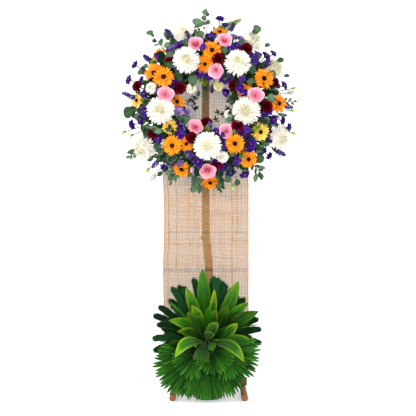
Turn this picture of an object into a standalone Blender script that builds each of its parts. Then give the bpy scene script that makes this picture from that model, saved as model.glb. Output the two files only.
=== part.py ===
"""Funeral wreath on a branch stand, with a sheet of open cloth and leaves at its foot."""
import math
import random

import bmesh
import bpy
import numpy as np
from mathutils import Matrix, Vector

COLLECTION = "funeral_wreath_with_stand"
GAP = 0.0003
SEED = 7
MOST_LOST = 0.005
NUDGE = 0.00002

# Stand. The post stands at the origin, the front looks along -Y.
FOOT_RADIUS = 0.0148
FOOT_AXIS_Z = 0.0135
FOOT_XS = {"foot_left": -0.158, "foot_right": 0.164}
FOOT_FRONT = -0.212
FOOT_BACK = 0.300
CROSS_RADIUS = 0.021
CROSS_ENDS = (-0.176, 0.182)
CROSS_SEAT = 0.0006
POST_TOP = 1.575
POST_RADII = (0.0205, 0.0185, 0.0170)
POST_PATH = [(0.0, 0.30), (0.003, 0.45), (0.004, 0.54), (0.002, 0.61), (-0.004, 0.67),
             (-0.010, 0.74), (-0.011, 0.90), (-0.010, 1.10), (-0.011, 1.34)]
KNOT_Z = 0.715
ROD_RADIUS = 0.0075
TOP_ROD_Z = 1.500
BOTTOM_ROD_Z = 0.195
TOP_ROD_ENDS = (-0.216, 0.199)
BOTTOM_ROD_ENDS = (-0.238, 0.219)
SHEET_X = (-0.2065, 0.1885)
SHEET_THICKNESS = 0.0014
SHEET_COLUMNS = 6
SHEET_ROWS = 10
PEG_RADIUS = 0.004
PEG_SPREAD = 0.197

# Wreath: a foam ring in a tray, and a canopy of blooms round the ring.
WREATH_X = 0.002
WREATH_Z = 1.335
RING_RADIUS = 0.200
RING_Y = -0.073
FOAM_HALF_WIDTH = 0.045
FOAM_HALF_DEPTH = 0.024
TRAY_THICKNESS = 0.0016
RING_STEPS = 18
CANOPY_RADIUS = 0.205
CANOPY_TUBE = 0.122
WREATH_BACK = -0.0480
TRUNK_RADIUS = 0.0050
TRUNK_DEPTH = 0.017
TRUNK_RISE = 0.010
STEM_FOOT_RISE = 0.004
COLLAR_RADIUS = 0.0085
STEM_SIDES = 3
CM = 0.01

# Pot and the leaves in it.
POT_Y = -0.130
POT_RADIUS = 0.080
POT_FOOT_RADIUS = 0.060
POT_HEIGHT = 0.185
POT_WALL = 0.003
POT_FOAM_TOP = 0.222
CONE_SLOPE = 0.30
PLANT_STEM_RADIUS = 0.0042
PLANT_COLLAR_RADIUS = 0.0085
FAN_NECK_Z = 0.236
LEAF_NECK_Z = 0.258
LEAF_STEP = 0.0050

# Where each plant stands in the pot's foam: right of and behind the front, in metres.
ROOTS = {
    "paddles_left_back": (-0.024, -0.092), "paddles_right_back": (0.022, -0.092),
    "paddles_left_front": (-0.040, -0.116), "paddles_right_front": (0.036, -0.116),
    "leaves_top": (-0.003, -0.120), "leaves_left": (-0.026, -0.141), "leaves_right": (0.020, -0.141),
    "leaves_front": (-0.004, -0.160), "fan_upper_left": (-0.047, -0.147), "fan_left": (-0.041, -0.166),
    "fan_middle_left": (-0.022, -0.178), "fan_bottom": (-0.003, -0.185), "fan_front": (0.016, -0.180),
    "fan_middle_right": (0.034, -0.170), "fan_right": (0.048, -0.152),
}

# Each head: its half width in metres, how far it turns outwards, its stem's radius and bends.
HEADS = {
    "mum": (0.0600, 0.50, 0.0036, 2),
    "pompon": (0.0250, 0.55, 0.0024, 1),
    "gerbera": (0.0450, 0.52, 0.0030, 2),
    "rose": (0.0330, 0.50, 0.0030, 2),
    "carnation": (0.0290, 0.55, 0.0028, 2),
    "bell": (0.0210, 0.70, 0.0022, 1),
    "statice": (0.0250, 0.95, 0.0020, 1),
    "bud": (0.0140, 1.10, 0.0020, 1),
}

# Bunches: kind, centimetres right of and above the wreath's centre, size, lift in centimetres.
BUNCHES = {
    "mums_top_left": [
        ("mum", -9.9, 18.8, 1.00, 0.3), ("mum", -11.6, 33.0, 0.85, -3.0),
        ("pompon", -8.0, 7.2, 1.00, -1.0)],
    "mums_top_right": [("mum", 13.1, 17.4, 1.00, 0.3), ("pompon", 4.6, 8.6, 1.00, -1.5)],
    "mums_upper_right": [
        ("mum", 20.0, 29.2, 0.90, -2.6), ("mum", 30.4, 17.3, 0.72, -2.6),
        ("pompon", 31.4, 5.2, 0.90, -1.5)],
    "mums_left": [
        ("mum", -21.4, -3.6, 1.05, 0.3), ("mum", -29.4, -19.1, 1.00, 0.0),
        ("pompon", -25.6, 6.5, 1.05, 0.2)],
    "mums_right": [
        ("mum", 17.1, -3.9, 1.05, 0.3), ("mum", 32.0, -14.8, 0.95, 0.0),
        ("pompon", 9.3, -4.8, 0.90, -1.0)],
    "mums_bottom": [("mum", -0.4, -19.6, 1.05, 0.6), ("pompon", 6.3, -24.3, 1.10, 0.0)],
    "roses_top": [
        ("rose", -5.8, 26.3, 1.00, 0.4), ("rose", 7.3, 28.3, 1.00, 0.6),
        ("rose", 3.4, 14.2, 1.00, 1.8)],
    "roses_left": [("rose", -19.1, 3.3, 1.05, 2.0)],
    "roses_right": [("rose", 21.1, 2.9, 1.05, 1.8)],
    "roses_bottom": [
        ("rose", -6.0, -10.8, 1.00, 0.8), ("rose", 7.9, -12.8, 0.95, 0.5),
        ("rose", -0.4, -30.4, 1.10, 1.6)],
    "gerberas_left": [
        ("gerbera", -24.4, 13.4, 1.05, 0.3), ("gerbera", -19.9, 11.1, 1.05, 2.0),
        ("gerbera", -22.5, 22.8, 0.80, -1.5), ("gerbera", -14.3, 0.6, 0.85, -1.3),
        ("gerbera", -32.6, 2.0, 0.85, -0.5)],
    "gerberas_top": [
        ("gerbera", 1.6, 23.2, 1.00, 0.3), ("gerbera", -1.6, 17.3, 0.90, -0.9),
        ("gerbera", 5.2, 33.4, 0.85, -1.0)],
    "gerberas_right": [
        ("gerbera", 24.8, 10.8, 1.05, 1.0), ("gerbera", 31.9, 0.4, 1.00, 0.5),
        ("gerbera", 16.7, 5.2, 0.85, -1.4)],
    "gerberas_bottom_left": [
        ("gerbera", -16.2, -19.3, 1.00, 1.0), ("gerbera", -9.9, -18.5, 0.80, -1.2),
        ("gerbera", -12.2, -29.4, 0.95, 0.0), ("gerbera", -17.3, -10.9, 0.80, -0.8)],
    "gerberas_bottom_right": [
        ("gerbera", 11.8, -18.5, 1.00, 1.0), ("gerbera", 18.0, -25.0, 0.95, 0.5),
        ("gerbera", 0.8, -35.4, 0.90, -0.6), ("gerbera", 23.3, -13.0, 0.95, -0.3)],
    "carnations_top": [
        ("carnation", 4.2, 19.2, 1.00, 1.7), ("carnation", 17.3, 25.0, 1.00, 0.9),
        ("carnation", 11.3, 8.2, 0.90, -0.8)],
    "carnations_left": [
        ("carnation", -32.6, 8.4, 1.00, 0.0), ("carnation", -17.3, 18.9, 0.90, -0.9),
        ("carnation", -12.9, 6.6, 1.05, 0.5)],
    "carnations_right": [
        ("carnation", 30.2, 10.0, 0.90, -0.6), ("carnation", 26.3, -1.6, 1.00, -0.5),
        ("carnation", 13.0, -10.6, 1.05, 1.0)],
    "carnations_bottom": [
        ("carnation", -1.0, -8.0, 1.00, 0.0), ("carnation", 3.6, -27.5, 0.90, -0.6),
        ("carnation", -25.0, -13.6, 1.00, -0.3), ("carnation", -7.2, -16.0, 1.00, 0.7)],
    "lisianthus_top": [
        ("bell", 5.3, 39.7, 0.90, 0.0), ("bell", 7.8, 37.0, 0.80, -1.0),
        ("bell", 0.5, 30.3, 1.05, 0.3), ("statice", 10.9, 35.4, 0.90, 0.0),
        ("bell", -3.9, 13.4, 0.95, 0.0), ("bell", 0.3, 12.3, 1.00, 0.0)],
    "lisianthus_upper_left": [
        ("bell", -12.6, 26.6, 1.00, 0.2), ("bell", -16.2, 27.9, 1.00, -0.3),
        ("statice", -9.3, 31.3, 1.00, 0.0),
        ("statice", -27.6, 21.0, 1.00, 0.0),
        ("bell", -36.6, 11.6, 1.00, 0.0),
        ("bell", -30.4, 16.3, 0.90, 0.2), ("statice", -37.6, 5.0, 0.80, 0.0)],
    "lisianthus_left": [
        ("bell", -13.3, -3.9, 1.05, 0.3),
        ("bud", -8.8, 0.3, 1.30, 0.0), ("bell", -12.7, -9.4, 1.00, 0.0),
        ("bell", -35.2, -9.2, 1.00, 0.0), ("bell", -31.2, -7.0, 1.00, 0.2),
        ("bell", -28.6, -3.4, 1.00, 0.4), ("bud", -38.6, -12.4, 1.00, 0.0)],
    "lisianthus_bottom": [
        ("bell", -12.2, -13.7, 0.90, 0.5), ("bell", -21.5, -24.6, 1.05, 0.0),
        ("bell", -20.2, -29.0, 0.95, -0.3),
        ("statice", -24.0, -26.8, 1.00, 0.0), ("bell", -4.6, -26.4, 1.05, 0.5),
        ("bud", -7.3, -29.6, 1.40, 0.5), ("bud", -25.1, -33.0, 1.60, 0.0)],
    "lisianthus_lower_right": [
        ("bell", 10.2, -31.2, 1.10, 0.0), ("bell", 16.7, -31.9, 1.05, 0.0),
        ("bell", 12.3, -25.7, 0.95, 0.0),
        ("bell", 19.3, -18.6, 1.05, 0.3), ("bell", 24.6, -21.4, 1.10, 0.0),
        ("statice", 32.6, -21.8, 1.10, 0.0),
        ("statice", 17.6, -12.4, 1.10, 0.3), ("bell", 3.6, -13.0, 1.00, 0.6),
        ("bud", 11.2, -37.6, 1.20, 0.0)],
    "lisianthus_upper_right": [
        ("bell", 12.1, 31.3, 1.00, 0.0), ("bell", 14.8, 30.5, 0.95, 0.3),
        ("bell", 9.6, 23.9, 1.05, 0.3), ("bell", 7.6, 11.0, 1.10, 0.5),
        ("bell", 7.9, 5.2, 0.90, 0.0), ("statice", 15.2, 10.4, 1.00, 0.6),
        ("bell", 26.6, 22.5, 1.00, 0.2), ("statice", 25.6, 18.3, 1.10, 0.3)],
    "lisianthus_right": [
        ("bell", 34.9, 8.9, 0.95, 0.0), ("bud", 37.4, 5.6, 1.40, 0.0),
        ("bud", 38.9, 7.6, 1.00, 0.0), ("bell", 29.6, -7.3, 0.95, 0.3),
        ("bell", 34.2, -7.1, 0.90, 0.0), ("bell", 25.2, -6.6, 0.90, 0.3),
        ("bell", 37.0, -10.5, 0.90, 0.0), ("bud", 38.9, -13.0, 1.00, 0.0),
        ("statice", 36.4, -1.0, 0.90, 0.0)],
}

# Leafy sprays: tip in centimetres from the wreath's centre, leaves, leaf length and width in metres.
SPRAYS = {
    "greens_top": [
        (-1.2, 43.2, 8, 0.036, 0.030), (15.6, 40.2, 8, 0.040, 0.010), (22.8, 36.4, 4, 0.034, 0.026)],
    "greens_upper_left": [
        (-26.0, 33.6, 5, 0.034, 0.024), (-5.4, 37.4, 4, 0.034, 0.016),
        (-19.5, 35.4, 4, 0.030, 0.016)],
    "greens_upper_right": [
        (39.4, 1.6, 3, 0.030, 0.016), (10.4, 0.4, 3, 0.026, 0.014)],
    "greens_left": [
        (-37.8, -4.6, 4, 0.042, 0.036), (-7.6, 1.6, 3, 0.026, 0.012)],
    "greens_bottom_left": [
        (-17.0, -35.2, 5, 0.040, 0.020), (-36.4, -23.6, 4, 0.036, 0.022)],
    "greens_bottom_right": [
        (5.6, -39.0, 5, 0.036, 0.020), (24.4, -32.0, 5, 0.038, 0.018),
        (-6.2, -38.6, 5, 0.036, 0.020)],
}

# Leaves in the pot: start and tip in centimetres right of the middle and above the floor,
# width in centimetres, sideways bow and forward bow in centimetres.
BROAD_LEAVES = {
    "leaves_top": (-0.100, [
        (-1.5, 27.0, -2.6, 59.4, 5.0, 0.8, 1.0), (-2.6, 27.5, -9.8, 51.4, 4.2, 1.4, 1.2),
        (1.2, 27.0, 13.6, 54.4, 4.2, -1.6, 1.2), (2.6, 26.5, 17.8, 45.6, 3.8, 1.6, 1.2),
        (0.2, 27.5, 2.5, 51.0, 2.2, -0.8, 1.4)]),
    "leaves_left": (-0.134, [
        (-2.6, 26.0, -17.6, 38.0, 3.6, 4.6, 1.2), (-1.8, 27.0, -7.2, 43.8, 3.4, 2.4, 1.2),
        (-2.0, 25.5, -8.0, 40.6, 6.6, 2.2, 1.6), (-2.8, 25.0, -13.8, 33.0, 3.4, 3.8, 1.4)]),
    "leaves_right": (-0.134, [
        (1.8, 26.0, 22.6, 42.0, 4.4, 1.8, 1.2), (1.0, 27.0, 8.6, 44.0, 4.2, -1.4, 1.2),
        (0.6, 26.5, 3.6, 41.8, 3.6, 1.2, 1.4), (2.4, 25.5, 13.2, 36.4, 4.0, -1.6, 1.2),
        (2.8, 24.6, 22.0, 26.6, 3.4, 4.6, 1.2)]),
    "leaves_front": (-0.262, [
        (0.0, 27.4, 4.2, 36.4, 4.4, 1.0, 1.0), (-0.8, 27.2, 2.6, 31.8, 3.6, 1.4, 1.0),
        (-2.4, 26.4, -14.8, 21.8, 4.4, 5.0, 1.0), (2.2, 26.4, 16.2, 19.6, 4.2, 4.6, 1.0),
        (0.6, 26.6, 2.2, 23.6, 3.2, 0.6, 1.0), (-1.2, 26.2, -3.6, 17.6, 6.6, 0.2, 1.2)]),
}
PADDLES = {
    "paddles_left_back": (-0.070, [
        (-6.4, 55.4), (-13.2, 52.2), (-17.4, 46.0), (-24.6, 39.0), (-25.3, 28.4)]),
    "paddles_left_front": (-0.085, [
        (-11.0, 51.8), (-16.2, 51.4), (-22.2, 43.0), (-23.2, 35.0), (-25.0, 22.8)]),
    "paddles_right_back": (-0.070, [
        (2.6, 56.2), (6.8, 54.0), (11.4, 51.4), (16.6, 46.6), (22.8, 37.4), (24.4, 26.4)]),
    "paddles_right_front": (-0.085, [
        (4.6, 55.6), (8.0, 52.8), (13.6, 47.6), (21.2, 40.0), (24.2, 32.8)]),
}
# Fan leaves: depth, hub in centimetres, radius in metres, first and last finger's angle, fingers.
FANS = {
    "fan_right": (-0.218, (5.4, 23.8), 0.168, -112.0, 42.0, 17),
    "fan_left": (-0.218, (-7.0, 18.4), 0.166, -232.0, -88.0, 16),
    "fan_bottom": (-0.229, (-0.4, 19.6), 0.190, -138.0, -52.0, 13),
    "fan_upper_left": (-0.229, (-9.6, 22.4), 0.130, -226.0, -150.0, 7),
    "fan_middle_left": (-0.240, (-5.6, 20.8), 0.118, -176.0, -74.0, 11),
    "fan_middle_right": (-0.240, (5.2, 22.8), 0.146, -92.0, -18.0, 9),
    "fan_front": (-0.251, (2.0, 21.8), 0.104, -150.0, 8.0, 13),
}

for old in list(bpy.data.objects):
    bpy.data.objects.remove(old)

parts = bpy.data.collections.new(COLLECTION)
bpy.context.scene.collection.children.link(parts)
workshop = bpy.data.collections.new("workshop")
bpy.context.scene.collection.children.link(workshop)
rng = random.Random(SEED)


def make_material(name, color, roughness):
    """A plain Principled material."""
    made = bpy.data.materials.new(name)
    made.use_nodes = True
    shader = made.node_tree.nodes["Principled BSDF"]
    shader.inputs["Base Color"].default_value = (*color, 1.0)
    shader.inputs["Roughness"].default_value = roughness
    shader.inputs["Metallic"].default_value = 0.0
    return made


MATERIALS = {
    "wood": make_material("branch_wood", (0.30, 0.17, 0.08), 0.75),
    "dark_wood": make_material("dark_branch_wood", (0.09, 0.03, 0.02), 0.7),
    "cloth": make_material("open_cloth", (0.66, 0.50, 0.36), 0.9),
    "foam": make_material("floral_foam", (0.05, 0.16, 0.07), 0.95),
    "plastic": make_material("green_plastic", (0.03, 0.07, 0.03), 0.5),
    "mums": make_material("white_petals", (0.90, 0.90, 0.86), 0.6),
    "roses": make_material("pink_petals", (0.85, 0.22, 0.38), 0.55),
    "gerberas": make_material("orange_petals", (0.95, 0.45, 0.04), 0.5),
    "carnations": make_material("dark_red_petals", (0.22, 0.01, 0.04), 0.6),
    "lisianthus": make_material("purple_petals", (0.10, 0.04, 0.35), 0.6),
    "greens": make_material("grey_green_leaf", (0.13, 0.25, 0.14), 0.6),
    "leaves": make_material("bright_leaf", (0.10, 0.35, 0.03), 0.4),
    "paddles": make_material("dark_leaf", (0.02, 0.13, 0.03), 0.45),
    "fan": make_material("fan_leaf", (0.05, 0.25, 0.03), 0.45),
}


def finish(obj, name, material):
    """Name a finished solid and put it with the parts."""
    obj.name = name
    obj.data.name = name
    obj.data.materials.clear()
    obj.data.materials.append(MATERIALS[material])
    for owner in list(obj.users_collection):
        owner.objects.unlink(obj)
    parts.objects.link(obj)
    return obj


def solid(verts, faces, name="piece"):
    """A closed mesh object in the workshop, its faces pointing out."""
    mesh = bpy.data.meshes.new(name)
    mesh.from_pydata([tuple(v) for v in verts], [], faces)
    cage = bmesh.new()
    cage.from_mesh(mesh)
    bmesh.ops.triangulate(cage, faces=cage.faces[:])
    bmesh.ops.recalc_face_normals(cage, faces=cage.faces[:])
    if cage.calc_volume(signed=True) < 0.0:
        bmesh.ops.reverse_faces(cage, faces=cage.faces[:])
    cage.to_mesh(mesh)
    cage.free()
    made = bpy.data.objects.new(name, mesh)
    workshop.objects.link(made)
    return made


def evaluated_mesh(obj):
    """The object's mesh with its modifiers applied."""
    bpy.context.view_layer.update()
    graph = bpy.context.evaluated_depsgraph_get()
    return bpy.data.meshes.new_from_object(obj.evaluated_get(graph))


def is_closed(mesh):
    """True where every edge of the mesh has two faces."""
    cage = bmesh.new()
    cage.from_mesh(mesh)
    closed = len(cage.faces) > 0 and all(edge.is_manifold for edge in cage.edges)
    cage.free()
    return closed


def combine(base, others, operation):
    """Apply one Boolean of all the other objects to the base, and remove them."""
    tools = bpy.data.collections.new("tools")
    workshop.children.link(tools)
    for other in others:
        for owner in list(other.users_collection):
            owner.objects.unlink(other)
        tools.objects.link(other)
    step = base.modifiers.new("combine", "BOOLEAN")
    step.operation = operation
    step.operand_type = "COLLECTION"
    step.collection = tools
    best = None
    for solver in ("EXACT", "MANIFOLD") * 3:
        step.solver = solver
        mesh = evaluated_mesh(base)
        if is_closed(mesh):
            lost = keep_largest(mesh)
            if best is None or lost < best[0]:
                best = (lost, mesh)
            if lost < MOST_LOST:
                break
        if solver == "MANIFOLD":
            base.data.transform(Matrix.Translation((NUDGE, NUDGE, 0.0)))
    base.modifiers.clear()
    if best is None or best[0] >= MOST_LOST:
        raise ValueError(base.name + " is not one body")
    base.data = best[1]
    for other in list(tools.objects):
        bpy.data.objects.remove(other)
    bpy.data.collections.remove(tools)
    return base


def keep_largest(mesh):
    """Keep the mesh's largest body without scraps or sealed hollows; the share that was lost."""
    cage = bmesh.new()
    cage.from_mesh(mesh)
    left = set(cage.faces)
    islands = []
    while left:
        stack = [left.pop()]
        island = []
        while stack:
            face = stack.pop()
            island.append(face)
            for edge in face.edges:
                for other in edge.link_faces:
                    if other in left:
                        left.discard(other)
                        stack.append(other)
        volume = 0.0
        for face in island:
            corners = [v.co for v in face.verts]
            for i in range(1, len(corners) - 1):
                volume += corners[0].dot(corners[i].cross(corners[i + 1])) / 6.0
        islands.append((volume, island))
    islands.sort(key=lambda item: -item[0])
    for volume, island in islands[1:]:
        bmesh.ops.delete(cage, geom=island, context="FACES")
    cage.to_mesh(mesh)
    cage.free()
    return sum(volume for volume, island in islands[1:] if volume > 0.0) / islands[0][0]


def loft(rings, first=None, last=None):
    """Join rings of points; each end is closed by a point, or flat where none is given."""
    count = len(rings[0])
    verts = [Vector(v) for ring in rings for v in ring]
    faces = []
    for row in range(len(rings) - 1):
        for i in range(count):
            a = row * count + i
            b = row * count + (i + 1) % count
            if i < count // 2:
                faces += [(a, b, b + count), (a, b + count, a + count)]
            else:
                faces += [(a, b, a + count), (b, b + count, a + count)]
    for point, row in ((first, 0), (last, len(rings) - 1)):
        loop = [row * count + i for i in range(count)]
        if row == 0:
            loop.reverse()
        if point is None:
            faces.append(loop)
        else:
            verts.append(Vector(point))
            tip = len(verts) - 1
            for i in range(count):
                faces.append((loop[i], loop[(i + 1) % count], tip))
    return verts, faces


def ring(radius, height, count, lobes=0, wave=0.0, lift=0.0, turn=0.0):
    """A level ring of points, waved in radius and in height where it has lobes."""
    points = []
    for i in range(count):
        angle = math.tau * i / count + turn
        swing = math.cos(lobes * (angle - turn)) if lobes else 0.0
        reach = radius * (1.0 + wave * swing)
        points.append(Vector((reach * math.cos(angle), reach * math.sin(angle),
                              height + lift * swing)))
    return points


def neck_under(verts, faces, loop, sides, radius, depth):
    """Close a head's underside from its loop down to a small ring where the stem begins."""
    first = len(verts)
    for k in range(sides):
        angle = math.tau * k / sides
        verts.append(Vector((radius * math.cos(angle), radius * math.sin(angle), -depth)))
    outer = sorted(loop, key=lambda i: math.atan2(verts[i].y, verts[i].x) % math.tau)
    turns = [math.atan2(verts[i].y, verts[i].x) % math.tau for i in outer]
    i = k = 0
    while i < len(outer) or k < sides:
        at = outer[i % len(outer)]
        neck = first + k % sides
        next_outer = turns[i + 1] if i + 1 < len(outer) else turns[0] + math.tau
        next_neck = math.tau * (k + 1) / sides
        if k >= sides or (i < len(outer) and next_outer <= next_neck + turns[0]):
            faces.append((at, neck, outer[(i + 1) % len(outer)]))
            i += 1
        else:
            faces.append((at, neck, first + (k + 1) % sides))
            k += 1
    return list(range(first, first + sides))


def spiked_ball(subdivisions, base, spike_from, flatten, sides, neck_radius):
    """A ball whose faces are drawn out into pointed petals on its front and sides."""
    cage = bmesh.new()
    bmesh.ops.create_icosphere(cage, subdivisions=subdivisions, radius=base)
    front = [f for f in cage.faces if f.calc_center_median().z > spike_from * base]
    made = bmesh.ops.poke(cage, faces=front)
    for vert in made["verts"]:
        vert.co = vert.co.normalized() * (1.0 - 0.05 * vert.co.z / base)
    for vert in cage.verts:
        vert.co.z *= flatten if vert.co.z > 0.0 else flatten * 0.7
    lowest = min(cage.verts, key=lambda v: v.co.z)
    depth = -lowest.co.z
    rim = [e.other_vert(lowest) for e in lowest.link_edges]
    bmesh.ops.delete(cage, geom=[lowest], context="VERTS")
    cage.verts.index_update()
    loop = [v.index for v in rim if len(v.link_faces) and any(e.is_boundary for e in v.link_edges)]
    verts = [v.co.copy() for v in cage.verts]
    faces = [tuple(v.index for v in f.verts) for f in cage.faces]
    cage.free()
    return verts, faces, neck_under(verts, faces, loop, sides, neck_radius, depth)


def lofted_head(rings, top, sides, neck_radius, depth):
    """A head lofted upwards through its rings, over a neck."""
    verts, faces = loft(rings, None, top)
    count = len(rings[0])
    faces = [face for face in faces if isinstance(face, tuple)]
    return verts, faces, neck_under(verts, faces, list(range(count)), sides, neck_radius, depth)


def mum_head(sides, neck_radius):
    """A dense round head of pointed petals."""
    return spiked_ball(2, 0.84, 0.2, 0.80, sides, neck_radius)


def pompon_head(sides, neck_radius):
    """A small round head of short petals."""
    return spiked_ball(1, 0.85, -0.6, 0.95, sides, neck_radius)


def gerbera_head(sides, neck_radius):
    """Two layers of ray petals round a raised eye."""
    petals = 8
    step = math.tau / petals

    def level(radius, height, offset):
        return [Vector((radius * math.cos((i + offset) * step), radius * math.sin((i + offset) * step),
                        height)) for i in range(petals)]

    rim = []
    for tip, notch in zip(level(1.0, 0.02, 0.0), level(0.62, 0.03, 0.5)):
        rim += [tip, notch]
    verts = rim + level(0.70, 0.17, 0.5) + level(0.34, 0.11, 0.5) + level(0.22, 0.22, 0.0)
    verts.append(Vector((0, 0, 0.20)))
    top = len(verts) - 1
    faces = []
    for i in range(petals):
        j = (i + 1) % petals
        tip, notch, next_tip = 2 * i, 2 * i + 1, 2 * j
        over, next_over = 2 * petals + i, 2 * petals + j
        within, next_within = 3 * petals + i, 3 * petals + j
        around, next_around = 4 * petals + i, 4 * petals + j
        faces += [(tip, notch, over), (notch, next_tip, over), (over, next_tip, next_over)]
        faces += [(over, next_over, within), (within, next_over, next_within)]
        faces += [(around, within, next_around), (within, next_within, next_around)]
        faces += [(around, next_around, top)]
    loop = list(range(2 * petals))
    return verts, faces, neck_under(verts, faces, loop, sides, neck_radius, 0.24)


def rose_head(sides, neck_radius):
    """Cupped layers of petals round a tight centre."""
    rings = [ring(0.98, 0.00, 10, 5, 0.06, 0.04),
             ring(0.70, 0.02, 10, 5, 0.03, 0.0), ring(0.72, 0.34, 10, 5, -0.06, 0.04),
             ring(0.40, 0.24, 10), ring(0.36, 0.50, 10, 5, 0.10, 0.03)]
    return lofted_head(rings, (0, 0, 0.36), sides, neck_radius, 0.60)


def carnation_head(sides, neck_radius):
    """Ruffled layers over a narrow calyx."""
    rings = [ring(0.40, -0.40, 8), ring(0.96, 0.00, 8, 4, 0.08, 0.14),
             ring(0.62, 0.08, 8), ring(0.70, 0.38, 8, 4, -0.08, 0.11),
             ring(0.32, 0.26, 8)]
    return lofted_head(rings, (0, 0, 0.60), sides, neck_radius, 0.80)


def bell_head(sides, neck_radius):
    """Five petals in an open cup."""
    rim = ring(0.84, 0.12, 10, 5, 0.17, 0.08)
    verts = rim + [Vector((0, 0, -0.16))]
    faces = [(i, (i + 1) % 10, 10) for i in range(10)]
    return verts, faces, neck_under(verts, faces, list(range(10)), sides, neck_radius, 0.60)


def statice_head(sides, neck_radius):
    """A narrow spike of small florets."""
    reach = (0.40, 0.22, 0.46, 0.20)
    rings = [ring(r, -0.55 + 0.40 * k, 3, turn=0.9 * k) for k, r in enumerate(reach)]
    return lofted_head(rings, (0, 0, 1.0), sides, neck_radius, 0.95)


def bud_head(sides, neck_radius):
    """A closed bud."""
    return lofted_head([ring(0.46, -0.20, 5)], (0, 0, 1.0), sides, neck_radius, 0.95)


HEAD_SHAPES = {
    "mum": mum_head, "pompon": pompon_head, "gerbera": gerbera_head, "rose": rose_head,
    "carnation": carnation_head, "bell": bell_head, "statice": statice_head, "bud": bud_head,
}


def leaf_shape(length, width, fold, thickness):
    """A leaf along +X with a rib in its middle and its edges turned up."""
    half = 0.5 * width
    rise = fold * half
    outline = [Vector((0.26 * length, 0.86 * half, rise)), Vector((0.66 * length, 0.92 * half, rise)),
               Vector((0.66 * length, -0.92 * half, rise)), Vector((0.26 * length, -0.86 * half, rise))]
    verts = outline + [Vector((0.47 * length, 0, 0.5 * thickness)),
                       Vector((0.47 * length, 0, -0.5 * thickness)),
                       Vector((0, 0, 0)), Vector((length, 0, 0))]
    loop = [6, 3, 2, 7, 1, 0]
    faces = []
    for i in range(6):
        a, b = loop[i], loop[(i + 1) % 6]
        faces += [(a, b, 4), (b, a, 5)]
    return verts, faces


def rod(points, radii, sides, first=None):
    """A straight-sided tube along a row of points, closed flat, or pointed at its start."""
    rings = []
    side = None
    for k, point in enumerate(points):
        before = points[k - 1] if k else (first or points[0])
        after = points[min(k + 1, len(points) - 1)]
        along = (Vector(after) - Vector(before)).normalized()
        if side is None:
            side = along.orthogonal().normalized()
        side = (side - along * side.dot(along)).normalized()
        other = along.cross(side)
        radius = radii[0] + (radii[-1] - radii[0]) * k / (len(points) - 1)
        rings.append([Vector(point) + radius * (math.cos(math.tau * i / sides) * side
                                                + math.sin(math.tau * i / sides) * other)
                      for i in range(sides)])
    return loft(rings, first)


def branch(path, radii, resolution=2):
    """A natural branch: a curve with filled caps and its own radius at each point, as a mesh."""
    curve = bpy.data.curves.new("branch", "CURVE")
    curve.dimensions = "3D"
    curve.bevel_depth = 1.0
    curve.bevel_resolution = resolution
    curve.use_fill_caps = True
    spline = curve.splines.new("POLY")
    spline.points.add(len(path) - 1)
    for point, place, radius in zip(spline.points, path, radii):
        point.co = (*place, 1.0)
        point.radius = radius
    guide = bpy.data.objects.new("branch", curve)
    workshop.objects.link(guide)
    mesh = evaluated_mesh(guide)
    bpy.data.objects.remove(guide)
    cage = bmesh.new()
    cage.from_mesh(mesh)
    bmesh.ops.remove_doubles(cage, verts=cage.verts[:], dist=0.00001)
    verts = [v.co.copy() for v in cage.verts]
    faces = [tuple(v.index for v in f.verts) for f in cage.faces]
    cage.free()
    return solid(verts, faces, "branch")


def post_x(z):
    """The post's sideways place at a height."""
    heights = [0.0] + [p[1] for p in POST_PATH] + [POST_TOP]
    places = [0.0] + [p[0] for p in POST_PATH] + [-0.010]
    return float(np.interp(z, heights, places))


def post_radius(z):
    """The post's radius at a height."""
    return float(np.interp(z, (0.0, 0.6, POST_TOP), POST_RADII))


def rod_y(z):
    """The depth of a rod's axis that rests on the post's front."""
    return -(post_radius(z) + GAP + ROD_RADIUS)


def sheet_y(z):
    """The depth of the cloth's middle, which hangs over the front of both rods."""
    ends = (rod_y(BOTTOM_ROD_Z), rod_y(TOP_ROD_Z))
    line = float(np.interp(z, (BOTTOM_ROD_Z, TOP_ROD_Z), ends))
    return line - ROD_RADIUS - GAP - 0.5 * SHEET_THICKNESS


def build_feet():
    """Two logs along Y, planed flat below."""
    for name, x in FOOT_XS.items():
        steps = 5
        path, radii = [], []
        for k in range(steps):
            share = k / (steps - 1)
            path.append((x + rng.uniform(-0.0015, 0.0015), FOOT_FRONT + share * (FOOT_BACK - FOOT_FRONT),
                         FOOT_AXIS_Z))
            radii.append(FOOT_RADIUS * rng.uniform(0.97, 1.0))
        log = branch(path, radii)
        cage = bmesh.new()
        cage.from_mesh(log.data)
        geometry = cage.verts[:] + cage.edges[:] + cage.faces[:]
        bmesh.ops.bisect_plane(cage, geom=geometry, plane_co=(0, 0, 0), plane_no=(0, 0, -1),
                               clear_outer=True)
        rim = [e for e in cage.edges if e.is_boundary]
        bmesh.ops.contextual_create(cage, geom=rim)
        cage.to_mesh(log.data)
        cage.free()
        finish(log, name, "wood")


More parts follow.
